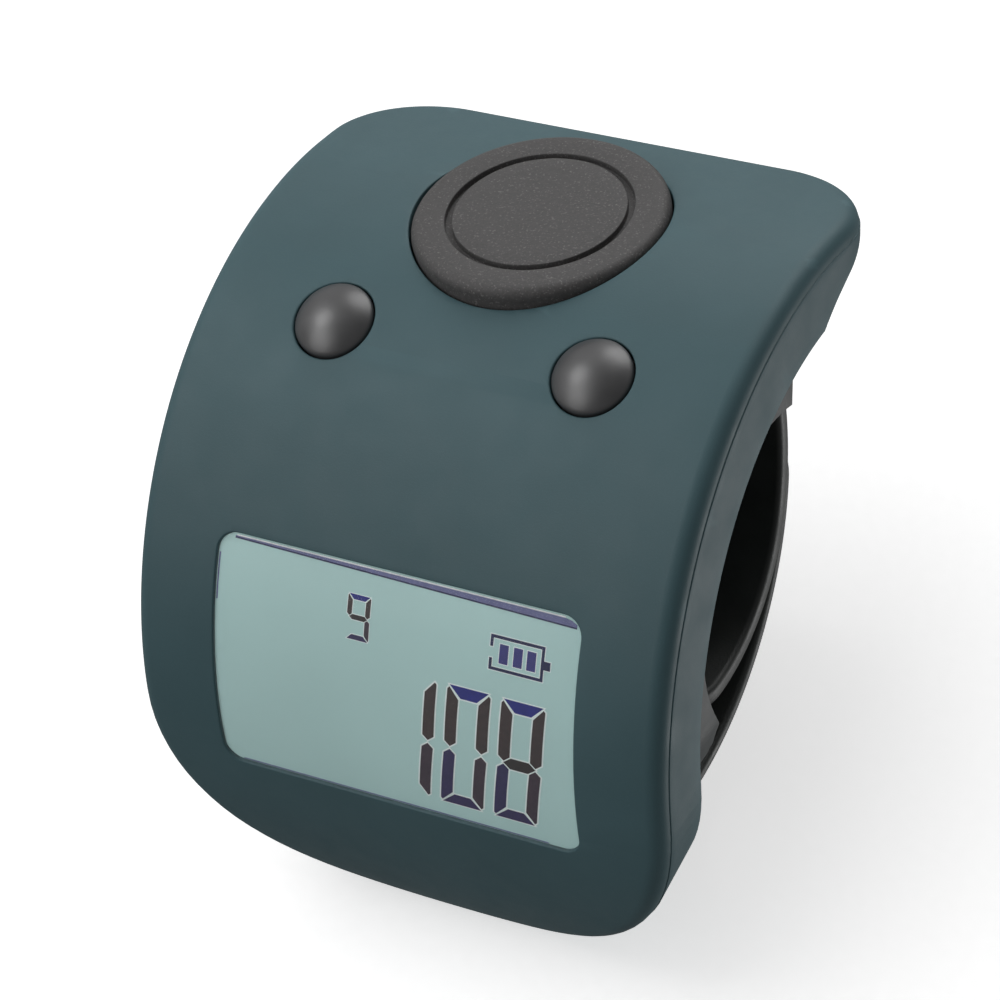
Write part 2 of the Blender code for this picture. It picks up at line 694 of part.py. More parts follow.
def make_display():
    lens = add_piece(
        "display_lens",
        slab(window_outline(FINE_GAP), -LENS_RECESS - LENS_THICKNESS, -LENS_RECESS),
        "window_clear",
    )
    bend(lens, CASE)
    cell_top = -LENS_RECESS - LENS_THICKNESS - FINE_GAP
    cell = add_piece(
        "lcd_cell", slab(window_outline(FINE_GAP), cell_top - CELL_THICKNESS, cell_top), "display_grey"
    )
    bend(cell, CASE)
    top = cell_top - CELL_THICKNESS - GAP
    bottom = top - FRAME_THICKNESS
    frame = add_piece("display_frame", slab(window_outline(-FRAME_BORDER), bottom, top), "case_dark")
    flat_combine(frame, [slab(window_outline(FRAME_LAP), bottom - GAP, top + GAP)])
    bend(frame, CASE)
    inset = FRAME_LAP + GAP
    half_width = WINDOW_WIDTH / 2 - inset
    first = WINDOW_STATION - WINDOW_LENGTH / 2 + inset
    last = WINDOW_STATION + WINDOW_LENGTH / 2 - inset
    guide_end = last - CONNECTOR_WIDTH - 2 * GAP
    guide_corner = WINDOW_CORNER / 2
    guide_plan = rounded_outline(half_width, first, guide_end, guide_corner, guide_corner, 2)
    guide = add_piece("backlight_panel", slab(guide_plan, bottom, top), "light_guide")
    bend(guide, CASE)
    end = display_place(last, -bottom)[0]
    connector_depth = display_place(last, -top)[1]
    board_top = GAP - MAIN_BOARD_DEPTH
    add_piece(
        "lcd_connector",
        block(half_width, CONNECTOR_WIDTH + end, -end, board_top, -connector_depth),
        "rubber_grey", DISPLAY_SEAT,
    )
    add_piece(
        "backlight_led",
        block(LED_WIDTH / 2, LED_LENGTH / 2, LED_LENGTH / 2, board_top, bottom - GAP),
        "light_guide", DISPLAY_SEAT,
    )


def make_boards():
    board_low = -MAIN_BOARD_DEPTH - BOARD_THICKNESS
    add_piece(
        "main_board",
        block(MAIN_BOARD_HALF, MAIN_BOARD_TOP, MAIN_BOARD_BOTTOM, board_low, -MAIN_BOARD_DEPTH),
        "board_green", DISPLAY_SEAT,
    )
    half_chip = CHIP_SIZE / 2
    chip_top = board_low - GAP
    add_piece(
        "controller_chip",
        block(half_chip, half_chip + CHIP_CENTRE, half_chip - CHIP_CENTRE, chip_top - CHIP_THICKNESS, chip_top),
        "chip_black", DISPLAY_SEAT,
    )
    add_piece(
        "count_board",
        block(COUNT_BOARD_HALF, COUNT_BOARD_BACK, COUNT_BOARD_FRONT,
              -COUNT_BOARD_DEPTH - BOARD_THICKNESS, -COUNT_BOARD_DEPTH),
        "board_green", COUNT_SEAT,
    )
    board = add_piece(
        "function_board",
        block(SIDE_BOARD_HALF, SIDE_BOARD_BACK, SIDE_BOARD_FRONT,
              -SIDE_BOARD_DEPTH - BOARD_THICKNESS, -SIDE_BOARD_DEPTH),
        "board_green", SIDE_SEAT,
    )
    clearance = add_cutter("cell_hole", rod(CELL_RADIUS + GAP, -0.02, 0.0, segments=32), CELL_SEAT)
    combine(board, clearance)


def switch_stack(button_bottom, height):
    """Heights below a button: its plunger's top and bottom, its switch's top, and the board."""
    plunger_top = button_bottom + GAP
    switch_top = plunger_top + PLUNGER_PROUD
    plunger_bottom = switch_top + GAP
    board = switch_top + height + GAP
    return plunger_top, plunger_bottom, switch_top, board


def make_switch(name, seat, offset, size, height, radius, stack, travel):
    plunger_top, plunger_bottom, switch_top, _ = stack
    body = block(size / 2, size / 2, size / 2, -switch_top - height, -switch_top, offset)
    switch = add_piece(f"{name}_switch", body, "switch_black", seat)
    well = rod(radius + FINE_GAP, -plunger_bottom - travel - FINE_GAP, 0.0, (offset, 0.0))
    combine(switch, add_cutter(f"{name}_switch_well", well, seat))
    plunger = add_piece(f"{name}_plunger", rod(radius, -plunger_bottom, -plunger_top), "button_grey", seat)
    plunger.location = (offset, 0.0, 0.0)
    smooth(plunger)


def make_count_button():
    ring_in = COUNT_RING_RADIUS - COUNT_RING_WIDTH / 2
    ring_out = COUNT_RING_RADIUS + COUNT_RING_WIDTH / 2
    groove = COUNT_RISE - COUNT_RING_DEPTH
    edge_centre = (COUNT_RADIUS - COUNT_EDGE, COUNT_RISE - COUNT_EDGE)
    rounding = [tuple(point) for point in arc_points(edge_centre, COUNT_EDGE, 90.0, 0.0, 3)]
    underside = COUNT_RISE - COUNT_PLATE
    inner = COUNT_RADIUS - COUNT_SKIRT_WALL
    profile = [
        (0.0, COUNT_RISE), (ring_in, COUNT_RISE), (ring_in, groove), (ring_out, groove),
        (ring_out, COUNT_RISE), *rounding, (COUNT_RADIUS, -COUNT_SKIRT_DEPTH),
        (inner, -COUNT_SKIRT_DEPTH), (inner, underside), (COUNT_STEM_RADIUS, underside),
        (COUNT_STEM_RADIUS, -COUNT_STEM_DEPTH), (0.0, -COUNT_STEM_DEPTH),
    ]
    button = add_piece("count_button", turned(profile, LARGE_ROUND), "button_grey", COUNT_SEAT)
    length = COUNT_EAR_REACH + COUNT_SKIRT_WALL / 2
    half_ear = COUNT_EAR_WIDTH / 2
    for name, side in (("left", -1), ("right", 1)):
        middle = side * (COUNT_RADIUS + COUNT_EAR_REACH - length / 2)
        ear = block(length / 2, half_ear, half_ear, -COUNT_SKIRT_DEPTH, -COUNT_EAR_DEPTH, middle)
        combine(button, add_cutter(f"count_ear_{name}", ear, COUNT_SEAT), "UNION")
    smooth(button)


def make_side_button(name, side):
    sphere = (SIDE_RADIUS ** 2 + SIDE_DOME ** 2) / (2 * SIDE_DOME)
    half_angle = math.degrees(math.asin(SIDE_RADIUS / sphere))
    cap = arc_points((0.0, SIDE_DOME - sphere), sphere, 90.0, 90.0 - half_angle, 6)
    profile = [(0.0, SIDE_DOME), *[tuple(point) for point in cap[1:]]]
    profile += [
        (SIDE_RADIUS, -SIDE_FLANGE_DEPTH), (SIDE_FLANGE_RADIUS, -SIDE_FLANGE_DEPTH),
        (SIDE_FLANGE_RADIUS, -SIDE_FLANGE_DEPTH - SIDE_FLANGE_THICKNESS),
        (SIDE_NIB_RADIUS, -SIDE_FLANGE_DEPTH - SIDE_FLANGE_THICKNESS),
        (SIDE_NIB_RADIUS, -SIDE_NIB_DEPTH), (0.0, -SIDE_NIB_DEPTH),
    ]
    button = add_piece(f"{name}_button", turned(profile, 28), "button_gloss", SIDE_SEAT)
    button.location = (side * SIDE_OFFSET, 0.0, 0.0)
    smooth(button)


def make_power():
    profile = (
        (0.0, 0.0), (CELL_RADIUS - 4 * CELL_RIM, 0.0), (CELL_RADIUS, -2 * CELL_RIM),
        (CELL_RADIUS, CELL_RIM - CELL_HEIGHT), (CELL_RADIUS - CELL_RIM, -CELL_HEIGHT), (0.0, -CELL_HEIGHT),
    )
    cell = add_piece("button_cell", turned(profile, 36), "steel", CELL_SEAT)
    cell.location = (0.0, 0.0, -CELL_DEPTH)
    smooth(cell)
    front = -CELL_DEPTH + GAP
    back = -CELL_DEPTH - CELL_HEIGHT - GAP
    half = CONTACT_WIDTH / 2
    add_piece(
        "negative_contact", block(CONTACT_LENGTH / 2, half, half, front, front + CONTACT_THICKNESS),
        "spring_steel", CELL_SEAT,
    )
    add_piece(
        "positive_contact", block(CONTACT_LENGTH / 2, half, half, back - CONTACT_THICKNESS, back),
        "spring_steel", CELL_SEAT,
    )
    outer = arc_points(FINGER_CENTRE, SADDLE_RADIUS, SADDLE_FROM, SADDLE_TO, SADDLE_STEPS)
    inner = arc_points(FINGER_CENTRE, SADDLE_RADIUS + REAR_WALL, SADDLE_FROM, SADDLE_TO, SADDLE_STEPS)
    half_width = CASE_WIDTH / 2
    door = add_piece(
        "battery_door", side_prism([*outer, *reversed(inner)], -half_width, half_width), "case_dark"
    )
    door_centre = CASE.point(CELL_STATION)
    move_origin(door, door_centre)
    half_length = DOOR_HALF_LENGTH - GAP
    plan = block(DOOR_HALF_WIDTH - GAP, half_length, half_length, -THROUGH_DEPTH, -CELL_DEPTH)
    combine(door, add_cutter("door_plan", plan, CELL_SEAT), "INTERSECT")
    notch_back = DOOR_HALF_LENGTH - 2 * DOOR_NOTCH_LENGTH
    notch_depth = saddle_depth_at(notch_back)
    notch = block(DOOR_NOTCH_WIDTH / 2, notch_back, DOOR_NOTCH_LENGTH - notch_back,
                  -THROUGH_DEPTH, DOOR_NOTCH_DEPTH - notch_depth)
    combine(door, add_cutter("door_notch", notch, CELL_SEAT))
    smooth(door)


def saddle_depth_at(back):
    """Depth of the saddle in the cell's own axes, at a distance back towards the tip."""
    tilt = CASE.tilt(CELL_STATION)
    along = Vector((math.cos(tilt), math.sin(tilt)))
    away = Vector(FINGER_CENTRE) - CASE.point(CELL_STATION)
    offset = away.dot(along) - back
    return -away.dot(Track.normal_of(tilt)) - math.sqrt(SADDLE_RADIUS ** 2 - offset ** 2)


def move_origin(piece, point):
    """Put a piece's origin at a point of the side view without moving the piece."""
    piece.data.transform(Matrix.Translation((0.0, -point[0], -point[1])))
    piece.location = (0.0, point[0], point[1])


def make_strap(name, track, half, thickness, pin, eye, hinge, slots, stud):
    corners = [STRAP_CORNER if free else STRAP_ROOT_CORNER for free in slots["ends"]]
    pattern = slab(
        rounded_outline(half, 0.0, track.length, *corners, 5), -thickness / 2, thickness / 2
    )
    round_rim(pattern, thickness / 2, STRAP_EDGE, 1)
    round_rim(pattern, -thickness / 2, STRAP_EDGE, 1)
    strap = add_piece(name, pattern, "strap_black", hinge)
    if slots["stations"]:
        cuts = []
        for station in slots["stations"]:
            outline = rounded_outline(
                SLOT_WIDTH / 2, station - SLOT_LENGTH / 2, station + SLOT_LENGTH / 2,
                SLOT_WIDTH / 2 - 0.0001, SLOT_WIDTH / 2 - 0.0001, 4,
            )
            cuts.append(slab(outline, -thickness, thickness))
        flat_combine(strap, cuts)
    if stud is not None:
        high = thickness / 2 + GAP + LOWER_STRAP_THICKNESS + STUD_PROUD
        flat_combine(strap, [rod(STUD_RADIUS, 0.0, high, (0.0, stud))], "UNION")
    bend(strap, track, pin, BEND_STEP / 2)
    combine(strap, add_cutter(f"{name}_eye", cross_rod(eye, half, pin, 24), FRAME), "UNION")
    combine(strap, add_cutter(f"{name}_eye_bore", cross_rod(PIN_RADIUS + GAP, 2 * half, pin), FRAME))
    smooth(strap)
    return strap


def make_straps():
    upper_hinge = make_empty("upper_strap_hinge", FRAME, (0.0, *UPPER_PIN))
    lower_hinge = make_empty("lower_strap_hinge", FRAME, (0.0, *LOWER_PIN))
    last = LOWER_STRAP.length
    slots = [last - FIRST_SLOT - i * SLOT_PITCH for i in range(SLOT_COUNT)]
    make_strap(
        "upper_strap", UPPER_STRAP, UPPER_STRAP_HALF, UPPER_STRAP_THICKNESS, UPPER_PIN,
        UPPER_EYE_RADIUS, upper_hinge, {"ends": (True, False), "stations": []},
        stud_station(slots[0] + STUD_BELOW_TOP - SLOT_LENGTH / 2 + STUD_RADIUS),
    )
    make_strap(
        "lower_strap", LOWER_STRAP, LOWER_STRAP_HALF, LOWER_STRAP_THICKNESS, LOWER_PIN,
        LOWER_EYE_RADIUS, lower_hinge, {"ends": (False, True), "stations": slots}, None,
    )
    for name, pin, inside, hinge in (
        ("upper", UPPER_PIN, UPPER_STRAP_HALF, upper_hinge),
        ("lower", LOWER_PIN, LOWER_STRAP_HALF, lower_hinge),
    ):
        length = inside + EAR_MARGIN + EAR_THICKNESS - FINE_GAP
        pin_piece = add_piece(f"{name}_strap_pin", cross_rod(PIN_RADIUS, length, (0.0, 0.0)), "steel", hinge)
        smooth(pin_piece)


def stud_station(lower_station):
    """The station on the upper strap that lies under a station of the lower strap."""
    target = LOWER_STRAP.point(lower_station)
    steps = 400
    stations = [UPPER_STRAP.length * i / steps for i in range(steps + 1)]
    return min(stations, key=lambda station: (UPPER_STRAP.point(station) - target).length)


def ribbon(name, start, end, bulge, low, high):
    """A flex ribbon between two boards: an arc of thin film, seen from the side."""
    middle = (start + end) / 2 + bulge
    spine = []
    for i in range(9):
        t = i / 8.0
        spine.append((1 - t) ** 2 * start + 2 * t * (1 - t) * middle + t * t * end)
    normals = []
    for i, point in enumerate(spine):
        along = (spine[min(i + 1, 8)] - spine[max(i - 1, 0)]).normalized()
        normals.append(Vector((-along.y, along.x)) * RIBBON_THICKNESS / 2)
    outline = [p + n for p, n in zip(spine, normals)]
    outline += [p - n for p, n in reversed(list(zip(spine, normals)))]
    add_piece(name, side_prism(outline, low, high), "ribbon_amber")


def seat_point(station, tilt, back, depth):
    along = Vector((math.cos(tilt), math.sin(tilt)))
    return CASE.point(station) + back * along - depth * Track.normal_of(tilt)


def make_ribbons():
    half = RIBBON_WIDTH / 2
    mid = BOARD_THICKNESS / 2
    side_tilt = CASE.tilt(SIDE_STATION)
    main_tilt = CASE.tilt(WINDOW_STATION)
    upper_start = seat_point(COUNT_STATION, COUNT_TILT, -COUNT_BOARD_FRONT - GAP, COUNT_BOARD_DEPTH + mid)
    upper_end = seat_point(SIDE_STATION, side_tilt, SIDE_BOARD_BACK + GAP, SIDE_BOARD_DEPTH + mid)
    ribbon("upper_ribbon", upper_start, upper_end, Vector(UPPER_RIBBON_BULGE), -half, half)
    lower_start = seat_point(SIDE_STATION, side_tilt, -SIDE_BOARD_FRONT - GAP, SIDE_BOARD_DEPTH + mid)
    lower_end = seat_point(WINDOW_STATION, main_tilt, MAIN_BOARD_TOP + GAP, MAIN_BOARD_DEPTH + mid)
    side = (SIDE_BOARD_HALF + CELL_RADIUS) / 2
    ribbon("lower_ribbon", lower_start, lower_end, Vector(LOWER_RIBBON_BULGE), side - half, side + half)


def stand_on_floor():
    """Move the counter so that it stands on Z = 0, with its box centred on the origin."""
    bpy.context.view_layer.update()
    graph = bpy.context.evaluated_depsgraph_get()
    low = Vector((math.inf,) * 3)
    high = Vector((-math.inf,) * 3)
    for piece in PARTS.objects:
        if piece.type != "MESH":
            continue
        mesh = piece.evaluated_get(graph).to_mesh()
        for vertex in mesh.vertices:
            place = piece.matrix_world @ vertex.co
            low = Vector(map(min, low, place))
            high = Vector(map(max, high, place))
    middle = (low + high) / 2
    FRAME.location = FRAME.location - Vector((middle.x, middle.y, low.z))
    bpy.context.view_layer.update()


clear_scene()
PARTS = make_collection("finger_tally_counter")
CUTTERS = make_collection("cutters")
CUTTERS.hide_render = True
MATERIALS = make_materials()
FRAME = make_empty("case_frame", tilt=-case_lean())
COUNT_SEAT = make_seat("count_seat", COUNT_STATION, COUNT_TILT)
SIDE_SEAT = make_seat("side_seat", SIDE_STATION)
CELL_SEAT = make_seat("cell_seat", CELL_STATION)
DISPLAY_SEAT = make_seat("display_seat", WINDOW_STATION)
SCREW_SEATS = []
for level, place in SCREW_STATIONS.items():
    level_seat = make_seat(f"{level}_screw_seat", place)
    SCREW_SEATS.append((f"{level}_left", level_seat, -1))
    SCREW_SEATS.append((f"{level}_right", level_seat, 1))

COUNT_STACK = switch_stack(COUNT_STEM_DEPTH, COUNT_SWITCH_HEIGHT)
SIDE_STACK = switch_stack(SIDE_NIB_DEPTH, SIDE_SWITCH_HEIGHT)
COUNT_BOARD_DEPTH = COUNT_STACK[3]
SIDE_BOARD_DEPTH = SIDE_STACK[3]

make_front_cover()
make_rear_cover()
make_screws()
make_display()
make_boards()
make_count_button()
make_side_button("left", -1)
make_side_button("right", 1)
make_switch("count", COUNT_SEAT, 0.0, COUNT_SWITCH_SIZE, COUNT_SWITCH_HEIGHT, COUNT_PLUNGER_RADIUS,
            COUNT_STACK, COUNT_TRAVEL)
make_switch("left", SIDE_SEAT, -SIDE_OFFSET, SIDE_SWITCH_SIZE, SIDE_SWITCH_HEIGHT, SIDE_PLUNGER_RADIUS,
            SIDE_STACK, SIDE_TRAVEL)
make_switch("right", SIDE_SEAT, SIDE_OFFSET, SIDE_SWITCH_SIZE, SIDE_SWITCH_HEIGHT, SIDE_PLUNGER_RADIUS,
            SIDE_STACK, SIDE_TRAVEL)
make_power()
make_straps()
make_ribbons()
stand_on_floor()
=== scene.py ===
"""Looks for a finger tally counter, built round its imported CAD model.

The case is drawn flat, as (across, station, height): the station runs along the side outline
from the tip over the finger down to the display's end. It is then wrapped onto the outline.
"""

import math

import bmesh
import bpy
from mathutils import Matrix, Vector


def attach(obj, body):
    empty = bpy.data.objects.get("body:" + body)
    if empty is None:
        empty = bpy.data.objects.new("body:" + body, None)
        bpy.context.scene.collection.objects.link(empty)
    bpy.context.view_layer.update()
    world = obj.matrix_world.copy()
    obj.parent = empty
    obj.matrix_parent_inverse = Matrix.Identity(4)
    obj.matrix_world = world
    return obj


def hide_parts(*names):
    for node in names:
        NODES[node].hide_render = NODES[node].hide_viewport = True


bl_info = {
    "name": "Finger Tally Counter",
    "version": (1, 0, 0),
    "blender": (4, 5, 0),
    "location": "3D Viewport > Sidebar > Tally Counter",
    "description": "Builds a finger tally counter round its packed CAD model",
    "category": "Object",
}

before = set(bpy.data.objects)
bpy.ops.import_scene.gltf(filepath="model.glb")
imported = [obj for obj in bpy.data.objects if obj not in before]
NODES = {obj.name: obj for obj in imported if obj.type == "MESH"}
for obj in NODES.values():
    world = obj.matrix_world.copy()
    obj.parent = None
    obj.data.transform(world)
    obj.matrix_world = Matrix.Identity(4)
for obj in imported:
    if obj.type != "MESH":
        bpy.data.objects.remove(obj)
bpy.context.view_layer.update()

# How near two points are to count as one, in a new shape and in a CAD solid.
WELD = 0.0000005
CAD_WELD = 0.000002

# The angles in degrees past which an edge stays sharp, and the width of a CAD solid's broken edges.
CREASE = 35.0
COVER_CREASE = 28.0
BUTTON_CREASE = 50.0
EDGE_BREAK = 0.00010
PIN_BREAK = 0.00012

# The case's side outline, as arcs of a radius and a sweep, and its place: it leans back on its
# end and on the strap.
CASE_ARCS = ((0.0650, 7.3), (0.0242, 18.4), (0.0232, 41.3), (0.0245, 53.0), (0.0185, 24.0))
CASE_START = (0.0179, 0.0161)
CASE_START_TILT = 0.6
CASE_LEAN = -27.650581
CASE_PLACE = (0.0, -0.0034316, 0.0218909)
CASE_WIDTH = 0.0340
CASE_WALL = 0.0015
TIP_CORNER = 0.0065
END_CORNER = 0.0168
SIDE_DEPTH = 0.0047
TIP_DEPTH = 0.0014
TAPER_START = 0.0035
TAPER_END = 0.0105
LOWER_EDGE_ROUND = 0.00012
SLICE = 0.0004
COARSE_SLICE = 0.0005

# The count button: its engraved ring, its skirt and the post that presses the switch.
COUNT_STATION = 0.01133
COUNT_LEAN = 2.0
COUNT_RADIUS = 0.00745
COUNT_RISE = 0.00025
COUNT_GAP = 0.00012
COUNT_STEPS = 128
PAD_STEPS = 144
TOP_RINGS = (0.0, 0.002, 0.004)
GROOVE_DEPTH = 0.00040
GROOVE_LIP = 0.00006
SKIRT_DEPTH = 0.00235
SKIRT_MIDDLE = 0.0012
SKIRT_WALL = 0.0010
SKIRT_CEILING = 0.00095
POST_RADIUS = 0.0012
POST_DEPTH = 0.0022

# The small domes: each is held by a flange under the case's wall and has a short stem.
SIDE_STATION = 0.02173
SIDE_OFFSET = 0.0082
SIDE_RADIUS = 0.00235
SIDE_GAP = 0.00010
SIDE_STEPS = 72
DOME_LIP = 0.00008
CAP_SHARE = 0.96
FLANGE_DEPTH = CASE_WALL + 0.00055
FLANGE_RADIUS = 0.00285
FLANGE_THICKNESS = 0.0005
STEM_RADIUS = 0.0009
STEM_LENGTH = 0.0002

# The window, with the display's glass under its film.
WINDOW_WIDTH = 0.0232
WINDOW_LENGTH = 0.0149
WINDOW_STATION = 0.0423
WINDOW_CORNER = 0.0012
CELL_DEPTHS = (0.00190, 0.00022)
CELL_INSET = 0.00002
FILM_DEPTHS = (0.00016, 0.00004)
FILM_INSET = 0.00003
FILM_ROUND = 0.00004

# Case screws, which come from the finger's side, with a cross recess in the head.
SCREW_OFFSET = 0.0120
SCREW_STATIONS = {"upper": 0.0135, "lower": 0.0305}
SCREW_SHAFT_RADIUS = 0.0007
SCREW_HEAD_RADIUS = 0.0013
SCREW_HEAD_HEIGHT = 0.0006
SCREW_HEAD_ROUND = 0.00018
CROSS_REACH = 0.00085
CROSS_HALF = 0.00020
CROSS_ROWS = ((0.97, 0.00004), (0.55, 0.00045))
THREAD_PITCH = 0.0005
THREAD_DEPTH = 0.00012
THREAD_MARGIN = 0.0002
PLAIN_LENGTH = 0.0006
POINT_SHARES = (0.8, 0.4)

# Straps: bands that end in an eye round their pin, the outer one with slots for the inner one's stud.
FINGER_CENTRE = (0.0076, -0.0042)
FINGER_RADIUS = 0.0097
UPPER_STRAP_HALF = 0.0106
UPPER_STRAP_THICKNESS = 0.0012
UPPER_STRAP_TAIL = -98.0
UPPER_STRAP_ARCS = ((FINGER_RADIUS + UPPER_STRAP_THICKNESS / 2, 88.0), (0.0160, 26.0), (0.0070, 60.0))
UPPER_EYE_RADIUS = 0.0019
LOWER_STRAP_HALF = 0.0102
LOWER_STRAP_THICKNESS = 0.0009
LOWER_STRAP_TO = 12.0
LOWER_ROOT = (0.0596, -0.0054)
LOWER_EYE_RADIUS = 0.0018
STRAP_GAP = 0.0003
STRAP_CORNER = 0.0035
ROOT_CORNER = 0.0005
EYE_BORE = 0.0012
EYE_ROUND = 0.00025
EYE_STEPS = 48
SLOT_SIZE = (0.0024, 0.0043)
SLOT_CORNER = 0.0011
SLOT_PLACES = (0.0060, 0.0115, 0.0170)
STUD_RADIUS = 0.0008
STUD_PROUD = 0.0002
STUD_BELOW_TOP = 0.0015
STUD_ROUND = 0.0003
STUD_ROOT = 0.0003
STUD_STEPS = 40


class Track:
    """A side outline of tangent arcs, measured along its length."""

    def __init__(self, start, tilt, arcs):
        self.pieces = []
        station = 0.0
        point = Vector(start)
        angle = math.radians(tilt)
        for radius, sweep in arcs:
            centre = point - radius * self.normal(angle)
            self.pieces.append((station, angle, radius, centre))
            station += radius * math.radians(sweep)
            angle += math.radians(sweep)
            point = centre + radius * self.normal(angle)
        self.length = station

    @staticmethod
    def normal(angle):
        return Vector((-math.sin(angle), math.cos(angle)))

    def piece_at(self, station):
        return [piece for piece in self.pieces if station >= piece[0] or piece[0] == 0.0][-1]

    def tilt(self, station):
        first, angle, radius, _ = self.piece_at(station)
        return angle + (min(max(station, 0.0), self.length) - first) / radius

    def point(self, station, height=0.0):
        inside = min(max(station, 0.0), self.length)
        _, _, radius, centre = self.piece_at(inside)
        angle = self.tilt(inside)
        onward = Vector((-math.cos(angle), -math.sin(angle)))
        return centre + (radius + height) * self.normal(angle) + (station - inside) * onward

    def unwrap(self, point):
        """The station and height of a point of the side view near the outline."""
        for first, angle, radius, centre in reversed(self.pieces):
            away = Vector(point) - centre
            turned_by = math.atan2(-away.x, away.y)
            if turned_by >= angle or first == 0.0:
                return first + radius * (turned_by - angle), away.length - radius
        raise ValueError("the point isn't near the outline")


CASE = Track(CASE_START, CASE_START_TILT, CASE_ARCS)
PLACE = Matrix.Translation(CASE_PLACE) @ Matrix.Rotation(math.radians(CASE_LEAN), 4, "X")
COUNT_TILT = CASE.tilt(COUNT_STATION) + math.radians(COUNT_LEAN)
SIDE_TILT = CASE.tilt(SIDE_STATION)


def polar(centre, radius, degrees):
    angle = math.radians(degrees)
    return Vector(centre) + radius * Vector((math.cos(angle), math.sin(angle)))


def lower_strap_track():
    """The arc from the lower strap's root that lies round the upper strap's outer side."""
    root = CASE.point(*LOWER_ROOT)
    ring = FINGER_RADIUS + UPPER_STRAP_THICKNESS + STRAP_GAP + LOWER_STRAP_THICKNESS / 2
    touch = Vector(FINGER_CENTRE) + Vector((ring, 0.0))
    away = touch - root
    radius = away.length_squared / (2 * away.x)
    start = root - touch + Vector((radius, 0.0))
    first = math.degrees(math.atan2(start.y, start.x))
    return Track(root, first - 90.0, ((radius, LOWER_STRAP_TO - first),))


UPPER_STRAP = Track(
    polar(FINGER_CENTRE, UPPER_STRAP_ARCS[0][0], UPPER_STRAP_TAIL),
    UPPER_STRAP_TAIL - 90.0,
    UPPER_STRAP_ARCS,
)
LOWER_STRAP = lower_strap_track()
UPPER_PIN = UPPER_STRAP.point(UPPER_STRAP.length, UPPER_EYE_RADIUS - UPPER_STRAP_THICKNESS / 2)
LOWER_PIN = LOWER_STRAP.point(0.0, LOWER_STRAP_THICKNESS / 2 - LOWER_EYE_RADIUS)


def seat_matrix(place, tilt):
    """A seat in the side view: its Z points outwards and its Y towards the tip."""
    return PLACE @ Matrix.Translation((0.0, *place)) @ Matrix.Rotation(tilt, 4, "X")


COUNT_SEAT = seat_matrix(CASE.point(COUNT_STATION), COUNT_TILT)
SIDE_SEAT = seat_matrix(CASE.point(SIDE_STATION), SIDE_TILT)


class CounterCase(bpy.types.PropertyGroup):
    edge_round: bpy.props.FloatProperty(
        name="Edge Round", description="Radius of the case's outer edge",
        default=0.0011, min=0.0004, max=0.0013, subtype="DISTANCE", unit="LENGTH", precision=4,
    )
    side_step: bpy.props.FloatProperty(
        name="Side Step", description="Fine step where the rounded edge meets the side wall",
        default=0.00007, min=0.0, max=0.0002, subtype="DISTANCE", unit="LENGTH", precision=5,
    )
    hole_round: bpy.props.FloatProperty(
        name="Hole Edge", description="Radius of the edges round the buttons and the window",
        default=0.00010, min=0.00005, max=0.0003, subtype="DISTANCE", unit="LENGTH", precision=5,
    )
    cover_colour: bpy.props.FloatVectorProperty(
        name="Cover Colour", description="Moulded front cover", subtype="COLOR",
        default=(0.049, 0.096, 0.109), min=0.0, max=1.0,
    )
    rear_colour: bpy.props.FloatVectorProperty(
        name="Rear Colour", description="Moulded rear cover and battery door", subtype="COLOR",
        default=(0.012, 0.018, 0.019), min=0.0, max=1.0,
    )
    grain: bpy.props.FloatProperty(
        name="Grain", description="Strength of the mould's fine grain", default=0.35, min=0.0, max=1.0,
        subtype="FACTOR",
    )


class CounterButtons(bpy.types.PropertyGroup):
    ring_radius: bpy.props.FloatProperty(
        name="Ring Radius", description="Middle of the engraved ring on the count button",
        default=0.00524, min=0.003, max=0.0065, subtype="DISTANCE", unit="LENGTH", precision=4,
    )
    ring_width: bpy.props.FloatProperty(
        name="Ring Width", description="Width of the engraved ring",
        default=0.00042, min=0.0002, max=0.001, subtype="DISTANCE", unit="LENGTH", precision=5,
    )
    rim_round: bpy.props.FloatProperty(
        name="Rim Round", description="Radius of the count button's rim",
        default=0.0006, min=0.0002, max=0.0009, subtype="DISTANCE", unit="LENGTH", precision=5,
    )
    dome_rise: bpy.props.FloatProperty(
        name="Dome Rise", description="How far the small domes stand up",
        default=0.0010, min=0.0005, max=0.0012, subtype="DISTANCE", unit="LENGTH", precision=4,
    )
    count_colour: bpy.props.FloatVectorProperty(
        name="Count Button Colour", description="Grainy rubber of the large button", subtype="COLOR",
        default=(0.050, 0.048, 0.048), min=0.0, max=1.0,
    )
    dome_colour: bpy.props.FloatVectorProperty(
        name="Small Button Colour", description="Satin plastic of the small domes", subtype="COLOR",
        default=(0.035, 0.035, 0.037), min=0.0, max=1.0,
    )


class CounterDisplay(bpy.types.PropertyGroup):
    count: bpy.props.IntProperty(
        name="Count", description="Number shown by the large figures", default=108, min=0, max=9999,
    )
    memory: bpy.props.IntProperty(
        name="Memory", description="Number shown by the small figure", default=9, min=0, max=9,
    )
    panel_colour: bpy.props.FloatVectorProperty(
        name="Panel Colour", description="Grey-green of the display", subtype="COLOR",
        default=(0.50, 0.735, 0.72), min=0.0, max=1.0,
    )
    figure_height: bpy.props.FloatProperty(
        name="Figure Height", description="Height of the large figures",
        default=0.00806, min=0.004, max=0.009, subtype="DISTANCE", unit="LENGTH", precision=4,
    )
    figure_width: bpy.props.FloatProperty(
        name="Figure Width", description="Width of the large figures",
        default=0.00272, min=0.001, max=0.003, subtype="DISTANCE", unit="LENGTH", precision=4,
    )
    figure_stroke: bpy.props.FloatProperty(
        name="Figure Stroke", description="Width of a segment of the large figures",
        default=0.00072, min=0.0002, max=0.001, subtype="DISTANCE", unit="LENGTH", precision=5,
    )


